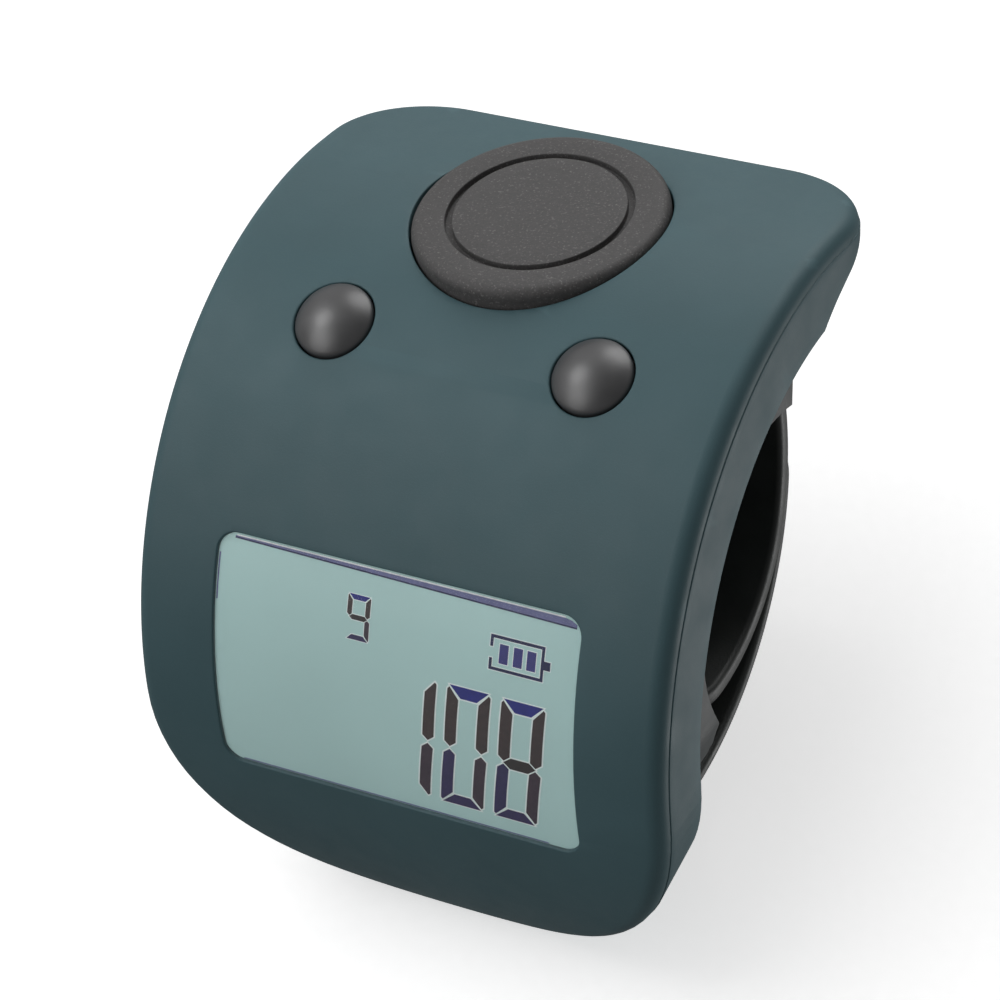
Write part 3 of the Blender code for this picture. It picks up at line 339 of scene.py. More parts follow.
class CounterStrap(bpy.types.PropertyGroup):
    strap_colour: bpy.props.FloatVectorProperty(
        name="Strap Colour", description="Soft strap", subtype="COLOR",
        default=(0.011, 0.0145, 0.013), min=0.0, max=1.0,
    )
    edge_round: bpy.props.FloatProperty(
        name="Edge Round", description="Radius of the strap's long edges",
        default=0.00040, min=0.0001, max=0.00044, subtype="DISTANCE", unit="LENGTH", precision=5,
    )
    slot_round: bpy.props.FloatProperty(
        name="Slot Edge", description="Radius of the edges round the slots",
        default=0.00018, min=0.00005, max=0.0004, subtype="DISTANCE", unit="LENGTH", precision=5,
    )


class CounterStage(bpy.types.PropertyGroup):
    camera_distance: bpy.props.FloatProperty(
        name="Camera Distance", description="From the camera to the counter",
        default=0.220, min=0.1, max=2.0, subtype="DISTANCE", unit="LENGTH",
    )
    lens: bpy.props.FloatProperty(
        name="Lens", description="Focal length in millimetres", default=139.66, min=30.0, max=400.0,
    )
    key_power: bpy.props.FloatProperty(
        name="Key Power", description="Power of the overhead light", default=0.25, min=0.0, max=20.0,
        subtype="POWER", unit="POWER",
    )
    back_power: bpy.props.FloatProperty(
        name="Back Power", description="Power of the light behind, which falls on the tip", default=0.98,
        min=0.0, max=20.0, subtype="POWER", unit="POWER",
    )
    front_power: bpy.props.FloatProperty(
        name="Front Power", description="Power of the light on the left in front", default=0.52, min=0.0,
        max=20.0, subtype="POWER", unit="POWER",
    )
    side_power: bpy.props.FloatProperty(
        name="Side Power", description="Power of the low light on the right", default=0.12, min=0.0,
        max=20.0, subtype="POWER", unit="POWER",
    )
    gloss_power: bpy.props.FloatProperty(
        name="Gloss Power", description="Power of the light that makes the middle highlights", default=0.44,
        min=0.0, max=20.0, subtype="POWER", unit="POWER",
    )
    rim_power: bpy.props.FloatProperty(
        name="Rim Power", description="Power of the light that makes the highlights behind", default=0.60,
        min=0.0, max=20.0, subtype="POWER", unit="POWER",
    )
    floor_power: bpy.props.FloatProperty(
        name="Floor Power", description="Power of the light that only throws the floor's shadow",
        default=0.38, min=0.0, max=20.0, subtype="POWER", unit="POWER",
    )
    fill: bpy.props.FloatProperty(
        name="Fill", description="Strength of the even light all round", default=0.20, min=0.0, max=3.0,
    )
    ceiling: bpy.props.FloatProperty(
        name="Ceiling", description="Extra strength of the light from above on the left", default=0.40,
        min=0.0, max=3.0,
    )
    floor_glow: bpy.props.FloatProperty(
        name="Floor Glow", description="Light of the floor itself, which keeps its shadows pale",
        default=0.60, min=0.0, max=2.0,
    )


# Materials. Patterns are scaled in waves over a metre.

GRAIN_SCALE = 9000.0
SPECK_SCALE = 1.7 * GRAIN_SCALE
CASE_ROUGHNESS = 0.52


def surface(name, **values):
    """A Principled material; values are set on its sockets, with _ for a space."""
    material = bpy.data.materials.new(name)
    material.use_nodes = True
    shader = material.node_tree.nodes["Principled BSDF"]
    for socket, value in values.items():
        shader.inputs[socket.replace("_", " ")].default_value = value
    return material, shader


def add_node(material, kind, **settings):
    node = material.node_tree.nodes.new(kind)
    for key, value in settings.items():
        setattr(node, key, value)
    return node


def join(material, source, target):
    material.node_tree.links.new(source, target)


def place_socket(material):
    """The Object coordinates that every pattern is laid on."""
    found = material.node_tree.nodes.get("Texture Coordinate")
    return (found or add_node(material, "ShaderNodeTexCoord")).outputs["Object"]


def noise(material, scale, detail=2.0, roughness=0.5, stretch=None):
    node = add_node(material, "ShaderNodeTexNoise")
    node.inputs["Scale"].default_value = scale
    node.inputs["Detail"].default_value = detail
    node.inputs["Roughness"].default_value = roughness
    source = place_socket(material)
    if stretch is not None:
        mapping = add_node(material, "ShaderNodeMapping")
        mapping.inputs["Scale"].default_value = stretch
        join(material, source, mapping.inputs["Vector"])
        source = mapping.outputs["Vector"]
    join(material, source, node.inputs["Vector"])
    return node.outputs["Fac"]


def ramp(material, source, stops):
    node = add_node(material, "ShaderNodeValToRGB")
    elements = node.color_ramp.elements
    while len(elements) < len(stops):
        elements.new(0.5)
    for element, (position, colour) in zip(elements, stops):
        element.position = position
        element.color = (*colour, 1.0)
    join(material, source, node.inputs["Fac"])
    return node.outputs["Color"]


def between(material, source, low, high, start=0.3, end=0.7):
    node = add_node(material, "ShaderNodeMapRange")
    for socket, value in (("From Min", start), ("From Max", end), ("To Min", low), ("To Max", high)):
        node.inputs[socket].default_value = value
    join(material, source, node.inputs["Value"])
    return node.outputs["Result"]


def mix(material, factor, first, second, blend="MIX"):
    """A colour mix; the factor may be a number or a socket, the colours tuples or sockets."""
    node = add_node(material, "ShaderNodeMix", data_type="RGBA", blend_type=blend)
    for value, socket in ((factor, node.inputs[0]), (first, node.inputs[6]), (second, node.inputs[7])):
        if isinstance(value, bpy.types.NodeSocket):
            join(material, value, socket)
        else:
            socket.default_value = value if isinstance(value, float) else (*value, 1.0)
    return node.outputs[2]


def bump(material, shader, heights):
    """Bumps in a row: each is a height socket, its distance in metres and its strength."""
    previous = None
    for source, distance, strength in heights:
        node = add_node(material, "ShaderNodeBump")
        node.inputs["Distance"].default_value = distance
        node.inputs["Strength"].default_value = strength
        join(material, source, node.inputs["Height"])
        if previous is not None:
            join(material, previous, node.inputs["Normal"])
        previous = node.outputs["Normal"]
    join(material, previous, shader.inputs["Normal"])


def drifting(material, pattern, colour, spread, reach=0.2):
    """A colour that drifts between a darker and a lighter shade of itself with a pattern."""
    low, high = (tuple(part * factor for part in colour) for factor in (1.0 - spread, 1.0 + spread))
    return ramp(material, pattern, ((0.5 - reach, low), (0.5, tuple(colour)), (0.5 + reach, high)))


def moulded(name, colour, roughness, grain, spread=0.03, **values):
    """Satin moulded plastic: fine spark grain, slow colour drift and rubbed edges."""
    material, shader = surface(name, **values)
    drift = drifting(material, noise(material, 180.0, detail=3.0), colour, spread, reach=0.15)
    speck = between(material, noise(material, SPECK_SCALE, detail=1.0), 0.0, 0.10, start=0.55, end=0.75)
    lighter = tuple(min(1.0, part * 1.8 + 0.01) for part in colour)
    worn = add_node(material, "ShaderNodeNewGeometry").outputs["Pointiness"]
    rub = between(material, worn, 0.0, 0.22, start=0.51, end=0.58)
    speckled = mix(material, speck, drift, lighter)
    join(material, mix(material, rub, speckled, lighter), shader.inputs["Base Color"])
    blotch = noise(material, 420.0, detail=4.0, roughness=0.6)
    join(material, between(material, blotch, roughness - 0.05, roughness + 0.05), shader.inputs["Roughness"])
    fine = noise(material, GRAIN_SCALE, roughness=0.65)
    wave = noise(material, 260.0)
    bump(material, shader, ((fine, 0.00002, grain), (wave, 0.00006, 0.25)))
    return material


def cloudy(material, shader, cloud, colour, spread, roughness, grain):
    """A finish whose colour and roughness drift together with a cloud, under one bump."""
    join(material, drifting(material, cloud, colour, spread), shader.inputs["Base Color"])
    join(material, between(material, cloud, *roughness), shader.inputs["Roughness"])
    bump(material, shader, (grain,))
    return material


def grainy_rubber(name, colour):
    """Matt charcoal with a sandy grain and light specks."""
    material, shader = surface(name, IOR=1.45)
    grain = noise(material, 4200.0, detail=3.0, roughness=0.7)
    tone = drifting(material, grain, colour, 0.25)
    speck = between(material, noise(material, 7600.0, detail=1.0), 0.0, 0.55, start=0.60, end=0.74)
    join(material, mix(material, speck, tone, (0.16, 0.155, 0.15)), shader.inputs["Base Color"])
    join(material, between(material, grain, 0.55, 0.75), shader.inputs["Roughness"])
    bump(material, shader, ((grain, 0.00004, 0.7), (noise(material, 400.0), 0.00006, 0.2)))
    return material


def satin_gloss(name, colour):
    """Smooth dark plastic with broad, soft highlights."""
    material, shader = surface(name, IOR=1.50, Specular_IOR_Level=0.95)
    cloud = noise(material, 700.0, detail=3.0)
    grain = (noise(material, 7000.0), 0.00001, 0.25)
    return cloudy(material, shader, cloud, colour, 0.12, (0.37, 0.43), grain)


def soft_strap(name, colour):
    """Near-black elastomer with a faint bloom."""
    material, shader = surface(name, IOR=1.42, Sheen_Weight=0.12, Sheen_Roughness=0.5)
    cloud = noise(material, 350.0, detail=3.0)
    grain = (noise(material, 8000.0), 0.00002, 0.4)
    return cloudy(material, shader, cloud, colour, 0.18, (0.42, 0.56), grain)


def plain_steel(name, colour, roughness):
    """Bright steel with fine streaks from its making."""
    material, shader = surface(name, Metallic=1.0)
    streak = noise(material, 900.0, detail=4.0, roughness=0.6, stretch=(0.2, 1.0, 6.0))
    grain = (noise(material, 6000.0, detail=3.0), 0.00001, 0.3)
    dull = (roughness - 0.07, roughness + 0.10)
    return cloudy(material, shader, streak, colour, 0.10, dull, grain)


# Shapes.


def add_object(name, data):
    thing = bpy.data.objects.new(name, data)
    bpy.context.scene.collection.objects.link(thing)
    return thing


def mesh_object(name, shape):
    mesh = bpy.data.meshes.new(name)
    shape.to_mesh(mesh)
    shape.free()
    return add_object(name, mesh)


def new_piece(name, shape, material, body, replaced=(), smooth=CREASE):
    """A piece of the counter, smooth up to an angle, with its material and on its body."""
    piece = mesh_object(name, shape)
    piece.data.materials.append(material)
    piece.data.shade_smooth()
    piece.data.set_sharp_from_angle(angle=math.radians(smooth))
    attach(piece, body)
    if replaced:
        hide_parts(*replaced)
    return piece


def arc(centre, radius, first, last, steps):
    return [polar(centre, radius, first + (last - first) * i / steps) for i in range(steps + 1)]


def plan(half, first, last, first_corner, last_corner, steps, extra=()):
    """A rounded plate outline, anticlockwise; extra stations are added on its straight sides."""
    right = [(half - last_corner + p.x, last - last_corner + p.y)
             for p in arc((0.0, 0.0), last_corner, 0.0, 90.0, steps)]
    low_right = [(half - first_corner + p.x, first + first_corner + p.y)
                 for p in arc((0.0, 0.0), first_corner, -90.0, 0.0, steps)]
    side = [(half, station) for station in sorted(extra)]
    right_half = [*low_right, *side, *right]
    return right_half + [(-x, y) for x, y in reversed(right_half)]


def case_plan(inset):
    half = CASE_WIDTH / 2 - inset
    corners = (TIP_CORNER - inset, END_CORNER - inset)
    return plan(half, inset, CASE.length - inset, *corners, steps=24, extra=(TAPER_END,))


def window_plan(inset):
    half = WINDOW_WIDTH / 2 - inset
    first = WINDOW_STATION - WINDOW_LENGTH / 2 + inset
    last = WINDOW_STATION + WINDOW_LENGTH / 2 - inset
    corner = WINDOW_CORNER - inset
    return plan(half, first, last, corner, corner, steps=8)


def hole_place(hole, spot, rise):
    """The flat place of a spot on a hole's seat, raised along the seat's own axis.

    A hole is its station, its tilt, its offset across, its radius and its steps round.
    """
    station, tilt, offset = hole[:3]
    along = Vector((math.cos(tilt), math.sin(tilt)))
    found, height = CASE.unwrap(CASE.point(station) + spot.y * along + rise * Track.normal(tilt))
    return offset + spot.x, found, height


def hole_circle(hole, radius, depth):
    """Where a circle round a hole's axis meets the case at a depth: its flat places and rises."""
    tilt, steps = hole[1], hole[4]
    settling_rounds = 12
    points = []
    for i in range(steps):
        spot = polar((0.0, 0.0), radius, 360.0 * i / steps)
        rise = -depth
        for _ in range(settling_rounds):
            x, found, height = hole_place(hole, spot, rise)
            rise -= (height + depth) / math.cos(CASE.tilt(found) - tilt)
        points.append((x, found, rise))
    return points


def add_loop(shape, places):
    """A closed loop of edges through places."""
    points = [shape.verts.new(place) for place in places]
    edges = [shape.edges.new((points[i - 1], points[i])) for i in range(len(points))]
    return points, edges


def fill(shape, edge_sets, normal):
    """A flat face inside the first loop of edges and outside the others."""
    edges = [edge for edges in edge_sets for edge in edges]
    bmesh.ops.triangle_fill(shape, edges=edges, use_beauty=True, use_dissolve=False, normal=normal)


def skirt(shape, points, rows):
    """Extrude a loop through rows of places, one row for each step; returns the last loop."""
    for row in rows:
        grown = bmesh.ops.extrude_edge_only(shape, edges=rim_edges(points))["geom"]
        fresh = {item for item in grown if isinstance(item, bmesh.types.BMVert)}
        follow = []
        for point, place in zip(points, row):
            partner = next(e.other_vert(point) for e in point.link_edges if e.other_vert(point) in fresh)
            partner.co = place
            follow.append(partner)
        points = follow
    return points


def rim_edges(points):
    """The edges of a loop of points that still lack a face on one side."""
    held = set(points)
    found = {edge: None for point in points for edge in point.link_edges}
    return [edge for edge in found if set(edge.verts) <= held and len(edge.link_faces) < 2]


def quarter(steps):
    """Sine and cosine of a quarter turn, without its start."""
    return [(math.sin(math.radians(90.0 * i / steps)), math.cos(math.radians(90.0 * i / steps)))
            for i in range(1, steps + 1)]


def slice_stations(shape, step):
    """Cut a flat shape across at even stations, so that it can bend there."""
    clear = 0.00001
    low = min(v.co.y for v in shape.verts)
    high = max(v.co.y for v in shape.verts)
    for count in range(math.floor(low / step), math.ceil(high / step) + 1):
        station = count * step
        if low + clear < station < high - clear:
            bmesh.ops.bisect_plane(
                shape, geom=shape.verts[:] + shape.edges[:] + shape.faces[:], dist=WELD,
                plane_co=(0.0, station, 0.0), plane_no=(0.0, 1.0, 0.0),
            )


def wrap(shape, track, step=SLICE):
    """Slice a flat shape across, then wrap it onto a track."""
    slice_stations(shape, step)
    bmesh.ops.triangulate(shape, faces=[face for face in shape.faces if len(face.verts) > 4])
    for vertex in shape.verts:
        x, station, height = vertex.co
        y, z = track.point(station, height)
        vertex.co = PLACE @ Vector((x, y, z))
    bmesh.ops.reverse_faces(shape, faces=shape.faces)


def side_depth(station):
    """Depth of the side wall: shallow at the tip."""
    share = (station - TAPER_START) / (TAPER_END - TAPER_START)
    return TIP_DEPTH + (SIDE_DEPTH - TIP_DEPTH) * min(1.0, max(0.0, share))


def cover_rows(edge_round, side_step):
    """Rows of the outer skin from the top's rim, over the rear edge, to the ceiling inside."""
    depths = [side_depth(station) for _, station in case_plan(0.0)]
    crisp = LOWER_EDGE_ROUND
    bend_end = edge_round + side_step
    inner_break = 0.0001
    rows = []

    def row(inset, height_at):
        rows.append([(x, y, height_at(depth)) for (x, y), depth in zip(case_plan(inset), depths)])

    for sine, cosine in quarter(8):
        row(side_step + edge_round * (1.0 - sine), lambda depth, c=cosine: -edge_round * (1.0 - c))
    for sine, cosine in quarter(2):
        row(side_step * (1.0 - sine), lambda depth, c=cosine: -edge_round - side_step * (1.0 - c))
    for share in (0.15, 0.5, 0.85):
        row(0.0, lambda depth, t=share: -bend_end - t * (depth - crisp - bend_end))
    for sine, cosine in reversed([(0.0, 1.0), *quarter(3)]):
        row(crisp * (1.0 - sine), lambda depth, s=sine: -depth + crisp * (1.0 - s))
    row(CASE_WALL - crisp, lambda depth: -depth)
    row(CASE_WALL, lambda depth: inner_break - depth)
    row(CASE_WALL, lambda depth: -min(CASE_WALL, depth - 2 * inner_break))
    return rows


def build_cover(settings):
    """The front cover as one closed moulding, its holes rounded along their own axes."""
    shape = bmesh.new()
    rim = settings.hole_round
    edge_round = settings.edge_round - settings.side_step
    outer = add_loop(shape, [(x, y, 0.0) for x, y in case_plan(settings.side_step + edge_round)])
    window = add_loop(shape, [(x, y, 0.0) for x, y in window_plan(-rim)])
    holes = [(COUNT_STATION, COUNT_TILT, 0.0, COUNT_RADIUS + COUNT_GAP, COUNT_STEPS)]
    for side in (-1, 1):
        holes.append((SIDE_STATION, SIDE_TILT, side * SIDE_OFFSET, SIDE_RADIUS + SIDE_GAP, SIDE_STEPS))
    circles = [hole_circle(hole, hole[3] + rim, 0.0) for hole in holes]
    tops = [add_loop(shape, [(x, station, 0.0) for x, station, _ in circle]) for circle in circles]
    fill(shape, [edges for _, edges in (outer, window, *tops)], (0.0, 0.0, 1.0))
    ceiling = [skirt(shape, outer[0], cover_rows(edge_round, settings.side_step))]
    rows = [[(x, y, -rim * (1.0 - c)) for x, y in window_plan(-rim * (1.0 - s))] for s, c in quarter(4)]
    rows.append([(x, y, -CASE_WALL) for x, y in window_plan(0.0)])
    ceiling.append(skirt(shape, window[0], rows))
    for hole, circle, (points, _) in zip(holes, circles, tops):
        radius, steps = hole[3:]
        rows = []
        for sine, cosine in quarter(4):
            row = []
            for i, (_, _, rise) in enumerate(circle):
                spot = polar((0.0, 0.0), radius + rim * (1.0 - sine), 360.0 * i / steps)
                row.append(hole_place(hole, spot, rise - rim * (1.0 - cosine)))
            rows.append(row)
        rows.append([(x, station, -CASE_WALL) for x, station, _ in hole_circle(hole, radius, CASE_WALL)])
        ceiling.append(skirt(shape, points, rows))
    fill(shape, [rim_edges(points) for points in ceiling], (0.0, 0.0, -1.0))
    wrap(shape, CASE)
    bmesh.ops.recalc_face_normals(shape, faces=shape.faces)
    return shape


def finished_copy(node, name, material, body, width=EDGE_BREAK):
    """A carried-over CAD solid with its doubles merged and its edges broken."""
    shape = bmesh.new()
    shape.from_mesh(NODES[node].data)
    bmesh.ops.remove_doubles(shape, verts=shape.verts, dist=CAD_WELD)
    bmesh.ops.dissolve_degenerate(shape, edges=shape.edges, dist=CAD_WELD)
    piece = new_piece(name, shape, material, body, (node,))
    change = piece.modifiers.new("broken_edges", "BEVEL")
    change.width = width
    change.segments = 2
    change.limit_method = "ANGLE"
    change.angle_limit = math.radians(CREASE)


def turned(profile, segments, matrix, ring=False):
    """A round piece from a profile of (radius, height) on a seat; a ring's profile is closed."""
    shape = bmesh.new()
    points = [shape.verts.new((radius, 0.0, height)) for radius, height in profile]
    follow = points[1:] + points[:1] if ring else points[1:]
    edges = [shape.edges.new(pair) for pair in zip(points, follow)]
    bmesh.ops.spin(
        shape, geom=points + edges, cent=(0.0, 0.0, 0.0), axis=(0.0, 0.0, 1.0),
        angle=2.0 * math.pi, steps=segments, use_merge=True,
    )
    bmesh.ops.remove_doubles(shape, verts=shape.verts, dist=WELD)
    bmesh.ops.transform(shape, verts=shape.verts, matrix=matrix)
    bmesh.ops.recalc_face_normals(shape, faces=shape.faces)
    return shape


def rounded_run(corner, radius, first, last, steps):
    return [tuple(point) for point in arc(corner, radius, first, last, steps)]


# Display figures. Lean is how far a figure's foot goes left, by its height and its height squared.

COUNT_FIGURES = {
    "right": 0.00979, "top": 0.04050, "pitch": 0.00341, "gap": 0.00013, "lean": (0.030, 10.2),
}
MEMORY_FIGURES = {
    "right": -0.00150, "top": 0.03668, "pitch": 0.0018, "gap": 0.00006, "lean": (0.0, 0.0),
    "width": 0.00146, "height": 0.00266, "stroke": 0.00030,
}
BATTERY_SIDES = (0.00612, 0.00948)
BATTERY_ENDS = (0.03694, 0.03898)
BATTERY_GAP = (0.03763, 0.03829)
BATTERY_LINE = 0.00018
NUB_ENDS = (0.03776, 0.03826)
NUB_REACH = 0.00040
BAR_ENDS = (0.03740, 0.03852)
BAR_PLACES = (0.00672, 0.00760, 0.00843)
BAR_WIDTH = 0.00055
HALO_WIDTHS = {"count": 0.00009, "small": 0.00005}
FIGURE_DEPTHS = {"halo": 0.000222, "ink": 0.000216}
FIGURE_THICKNESS = 0.000012
SEGMENTS_LIT = {
    "0": "abcdef", "1": "bc", "2": "abdeg", "3": "abcdg", "4": "bcfg",
    "5": "acdfg", "6": "acdefg", "7": "abc", "8": "abcdefg", "9": "abcdfg",
}
BLUE = (0.012, 0.014, 0.240)
VIOLET = (0.034, 0.019, 0.105)
PLUM = (0.052, 0.027, 0.047)
BROWN = (0.052, 0.028, 0.030)
BLACK = (0.030, 0.018, 0.020)
NAVY = (0.012, 0.012, 0.080)
LIT_BLUE = (0.045, 0.038, 0.230)
# Lavender colours the painted reflection and the painted highlight lines on the window's edges; white also
# tints the painted highlight line on its top edge.
REFLECTED_LAVENDER = (0.160, 0.165, 0.350)
WHITE = (0.95, 0.97, 0.98)
SEGMENT_TINTS = {"a": BLUE, "b": BROWN, "c": PLUM, "d": VIOLET, "e": VIOLET, "f": BROWN, "g": BLACK}


def segment_outline(label, width, height, stroke, gap):
    """One segment of a seven-segment figure, from its top left corner down: mitred ends."""
    half = height / 2
    if label == "a":
        return [(gap, 0.0), (width - gap, 0.0), (width - stroke - gap, stroke), (stroke + gap, stroke)]
    if label == "d":
        return [(gap, height), (stroke + gap, height - stroke),
                (width - stroke - gap, height - stroke), (width - gap, height)]
    if label == "g":
        point = gap + 0.3 * stroke
        shoulder = stroke + 0.6 * gap
        upper, lower = half - stroke / 2, half + stroke / 2
        return [(point, half), (shoulder, upper), (width - shoulder, upper),
                (width - point, half), (width - shoulder, lower), (shoulder, lower)]
    middle_gap = 0.8 * gap
    blunt = 0.42 * stroke
    corner = (0.16 * stroke, 0.4 * blunt)
    if label in "fb":
        first, last = gap, half - middle_gap
        left = [(0.0, first + corner[1]), (0.0, last - blunt), (stroke / 2, last),
                (stroke, last - blunt), (stroke, first + stroke), (corner[0], first)]
    else:
        first, last = half + middle_gap, height - gap
        left = [(0.0, first + blunt), (0.0, last - corner[1]), (corner[0], last),
                (stroke, last - stroke), (stroke, first + blunt), (stroke / 2, first)]
    return left if label in "fe" else [(width - u, v) for u, v in reversed(left)]


def figure_places(text, right, top, width, height, stroke, pitch, gap, lean):
    """All lit segments of a number set against a right edge: (tint, outline in flat places)."""
    found = []
    for place, digit in enumerate(reversed(text)):
        left = right - width - place * pitch
        for label in SEGMENTS_LIT[digit]:
            outline = [(left + u - lean[0] * v - lean[1] * v * v, top + v)
                       for u, v in segment_outline(label, width, height, stroke, gap)]
            found.append((SEGMENT_TINTS[label], outline))
    return found


def rectangle(left, right, top, bottom):
    return [(left, top), (right, top), (right, bottom), (left, bottom)]


def grow(outline, margin):
    """An outline moved outwards by a margin, for the pale line round a figure."""
    count = len(outline)
    area = sum(outline[i - 1][0] * outline[i][1] - outline[i][0] * outline[i - 1][1] for i in range(count))
    sign = 1.0 if area > 0 else -1.0
    moved = []
    for i in range(count):
        before, here, after = (Vector(outline[(i + k) % count]) for k in (-1, 0, 1))
        into = (here - before).normalized()
        out = (after - here).normalized()
        first = Vector((into.y, -into.x)) * sign
        second = Vector((out.y, -out.x)) * sign
        blend = (first + second).normalized()
        moved.append(tuple(here + blend * margin / max(0.5, blend.dot(first))))
    return moved


def raise_face(shape, face, height):
    """Give a flat face a thickness, upwards."""
    raised = bmesh.ops.extrude_face_region(shape, geom=[face])["geom"]
    top = [item for item in raised if isinstance(item, bmesh.types.BMVert)]
    bmesh.ops.translate(shape, verts=top, vec=(0.0, 0.0, height))


def printed_shape(places, depth):
    """Thin prints on the display, and painted highlight and reflection lines, wrapped with the case; each
    outline keeps its tint.
    """
    shape = bmesh.new()
    tint = shape.verts.layers.float_color.new("tint")
    for colour, outline in places:
        points = [shape.verts.new((x, station, -depth)) for x, station in outline]
        for point in points:
            point[tint] = (*colour, 1.0)
        face = shape.faces.new(points)
        face.normal_update()
        if face.normal.z < 0.0:
            face.normal_flip()
        raise_face(shape, face, FIGURE_THICKNESS)
    bmesh.ops.recalc_face_normals(shape, faces=shape.faces)
    wrap(shape, CASE, COARSE_SLICE)
    return shape


def battery_places():
    """A battery outline with a gap on the left, three bars and its nub, to the sizes in the photo."""
    left, right = BATTERY_SIDES
    top, bottom = BATTERY_ENDS
    line = BATTERY_LINE
    places = [
        rectangle(left, right, top, top + line),
        rectangle(left, right, bottom - line, bottom),
        rectangle(right - line, right, top + line, bottom - line),
        rectangle(left, left + line, top + line, BATTERY_GAP[0]),
        rectangle(left, left + line, BATTERY_GAP[1], bottom - line),
        rectangle(right, right + NUB_REACH, *NUB_ENDS),
    ]
    bars = [rectangle(place, place + BAR_WIDTH, *BAR_ENDS) for place in BAR_PLACES]
    return [(NAVY, outline) for outline in places] + [(LIT_BLUE, outline) for outline in bars]


def border_places():
    """Painted light along the window's edges: a painted reflection of the window's upper edge in the film,
    wider to the right, with a white painted highlight line along that edge and painted highlight lines on
    its other edges.
    """
    first, last = 0.03497, 0.03505
    left, bend, right = -0.01060, 0.01045, 0.01120
    thin, wide, line = 0.00006, 0.00040, 0.00009
    band = [
        (left, last), (bend, last), (0.01085, last + 0.00008), (right, last + 0.00025),
        (right, last + wide), (left, last + thin),
    ]
    under = [
        (left, last + thin), (right, last + wide), (right, last + wide + line), (left, last + thin + line),
    ]
    top_highlight_line = rectangle(left + 0.0001, bend, first, last)
    lower_highlight_line = rectangle(-0.01050, 0.00950, 0.04961, 0.04969)
    left_highlight_line = rectangle(-0.01151, -0.01143, 0.03620, 0.03900)
    # A white painted highlight on the top edge, the painted reflection band with its dark foot, and painted
    # highlight lines on the lower and left edges.
    return [
        (WHITE, top_highlight_line), (REFLECTED_LAVENDER, band), (NAVY, under), (REFLECTED_LAVENDER, lower_highlight_line), (REFLECTED_LAVENDER, left_highlight_line),
    ]


def display_materials(settings):
    """The grey-green panel, the ink of its figures and of the painted edge highlights and reflection, the
    pale line round them and the clear film.
    """
    panel, shader = surface("display_panel", Roughness=0.42, IOR=1.45, Specular_IOR_Level=0.15)
    base = tuple(settings.panel_colour)
    drift = drifting(panel, noise(panel, 55.0), base, 0.06)
    fine = between(panel, noise(panel, 5200.0), 0.0, 0.16)
    join(panel, mix(panel, fine, drift, tuple(part * 0.86 for part in base)), shader.inputs["Base Color"])
    bump(panel, shader, ((noise(panel, 6000.0), 0.00001, 0.2),))

    # The tint colours the figures' print and also the painted highlight and reflection lines on the window's
    # edges.
    ink, shader = surface("display_ink_and_painted_glints", Roughness=0.45, Specular_IOR_Level=0.10)
    tinted = add_node(ink, "ShaderNodeAttribute", attribute_name="tint").outputs["Color"]
    mottled = between(ink, noise(ink, 2600.0), 0.0, 0.8)
    join(ink, mix(ink, mottled, tinted, (0.70, 0.72, 0.75), "MULTIPLY"), shader.inputs["Base Color"])

    halo, shader = surface("display_halo", Roughness=0.5, Specular_IOR_Level=0.10)
    pale = ramp(halo, noise(halo, 3000.0), ((0.3, (0.80, 0.90, 0.89)), (0.7, (0.88, 0.96, 0.95))))
    join(halo, pale, shader.inputs["Base Color"])

    clear, shader = surface("window_film", Roughness=0.10, IOR=1.45, Alpha=0.04)
    tone = ramp(clear, noise(clear, 300.0), ((0.3, (0.62, 0.70, 0.69)), (0.7, (0.70, 0.78, 0.77))))
    join(clear, tone, shader.inputs["Base Color"])
    haze = noise(clear, 500.0, detail=3.0)
    join(clear, between(clear, haze, 0.07, 0.14), shader.inputs["Roughness"])
    clear.surface_render_method = "BLENDED"
    return panel, ink, halo, clear


def plate_shape(outline, depths, edge=0.0):
    """A flat plate between two depths with its upper edge rounded, wrapped with the case."""
    shape = bmesh.new()
    low, high = (-depth for depth in depths)
    base = shape.faces.new([shape.verts.new((x, y, low)) for x, y in outline])
    raise_face(shape, base, high - low)
    bmesh.ops.recalc_face_normals(shape, faces=shape.faces)
    if edge > 0.0:
        rim = [e for e in shape.edges if all(abs(v.co.z - high) < WELD for v in e.verts)]
        bmesh.ops.bevel(shape, geom=rim, offset=edge, segments=3, profile=0.5, affect="EDGES", material=-1)
    wrap(shape, CASE)
    return shape


class TALLY_OT_cover(bpy.types.Operator):
    """Build the moulded front cover"""
    bl_idname = "tally.build_cover"
    bl_label = "Front Cover"

    def execute(self, context):
        settings = context.scene.tally_case
        colour = tuple(settings.cover_colour)
        teal = moulded(
            "cover_teal", colour, CASE_ROUGHNESS, settings.grain, IOR=1.48, Specular_IOR_Level=0.25,
        )
        new_piece(
            "front_shell", build_cover(settings), teal, "case", ("front_cover",), COVER_CREASE,
        )
        return {"FINISHED"}


class TALLY_OT_rear(bpy.types.Operator):
    """Finish the rear cover, the battery door, the screws and the strap pins"""
    bl_idname = "tally.build_rear"
    bl_label = "Rear Cover"

    def execute(self, context):
        settings = context.scene.tally_case
        colour = tuple(settings.rear_colour)
        dark = moulded("rear_black", colour, CASE_ROUGHNESS, settings.grain, IOR=1.48)
        finished_copy("rear_cover", "rear_shell", dark, "case")
        finished_copy("battery_door", "door_panel", dark, "battery_door")
        steel = plain_steel("screw_steel", (0.50, 0.51, 0.53), 0.30)
        for level, station in SCREW_STATIONS.items():
            for side, offset in (("left", -SCREW_OFFSET), ("right", SCREW_OFFSET)):
                node = f"{level}_{side}_screw"
                seat = seat_matrix(CASE.point(station), CASE.tilt(station))
                seat = seat @ Matrix.Translation((offset, 0.0, 0.0))
                new_piece(f"{node}_turned", build_screw(node, seat), steel, "case", (node,))
            pin = f"{level}_strap_pin"
            finished_copy(pin, f"{pin}_turned", steel, "case", PIN_BREAK)
        return {"FINISHED"}


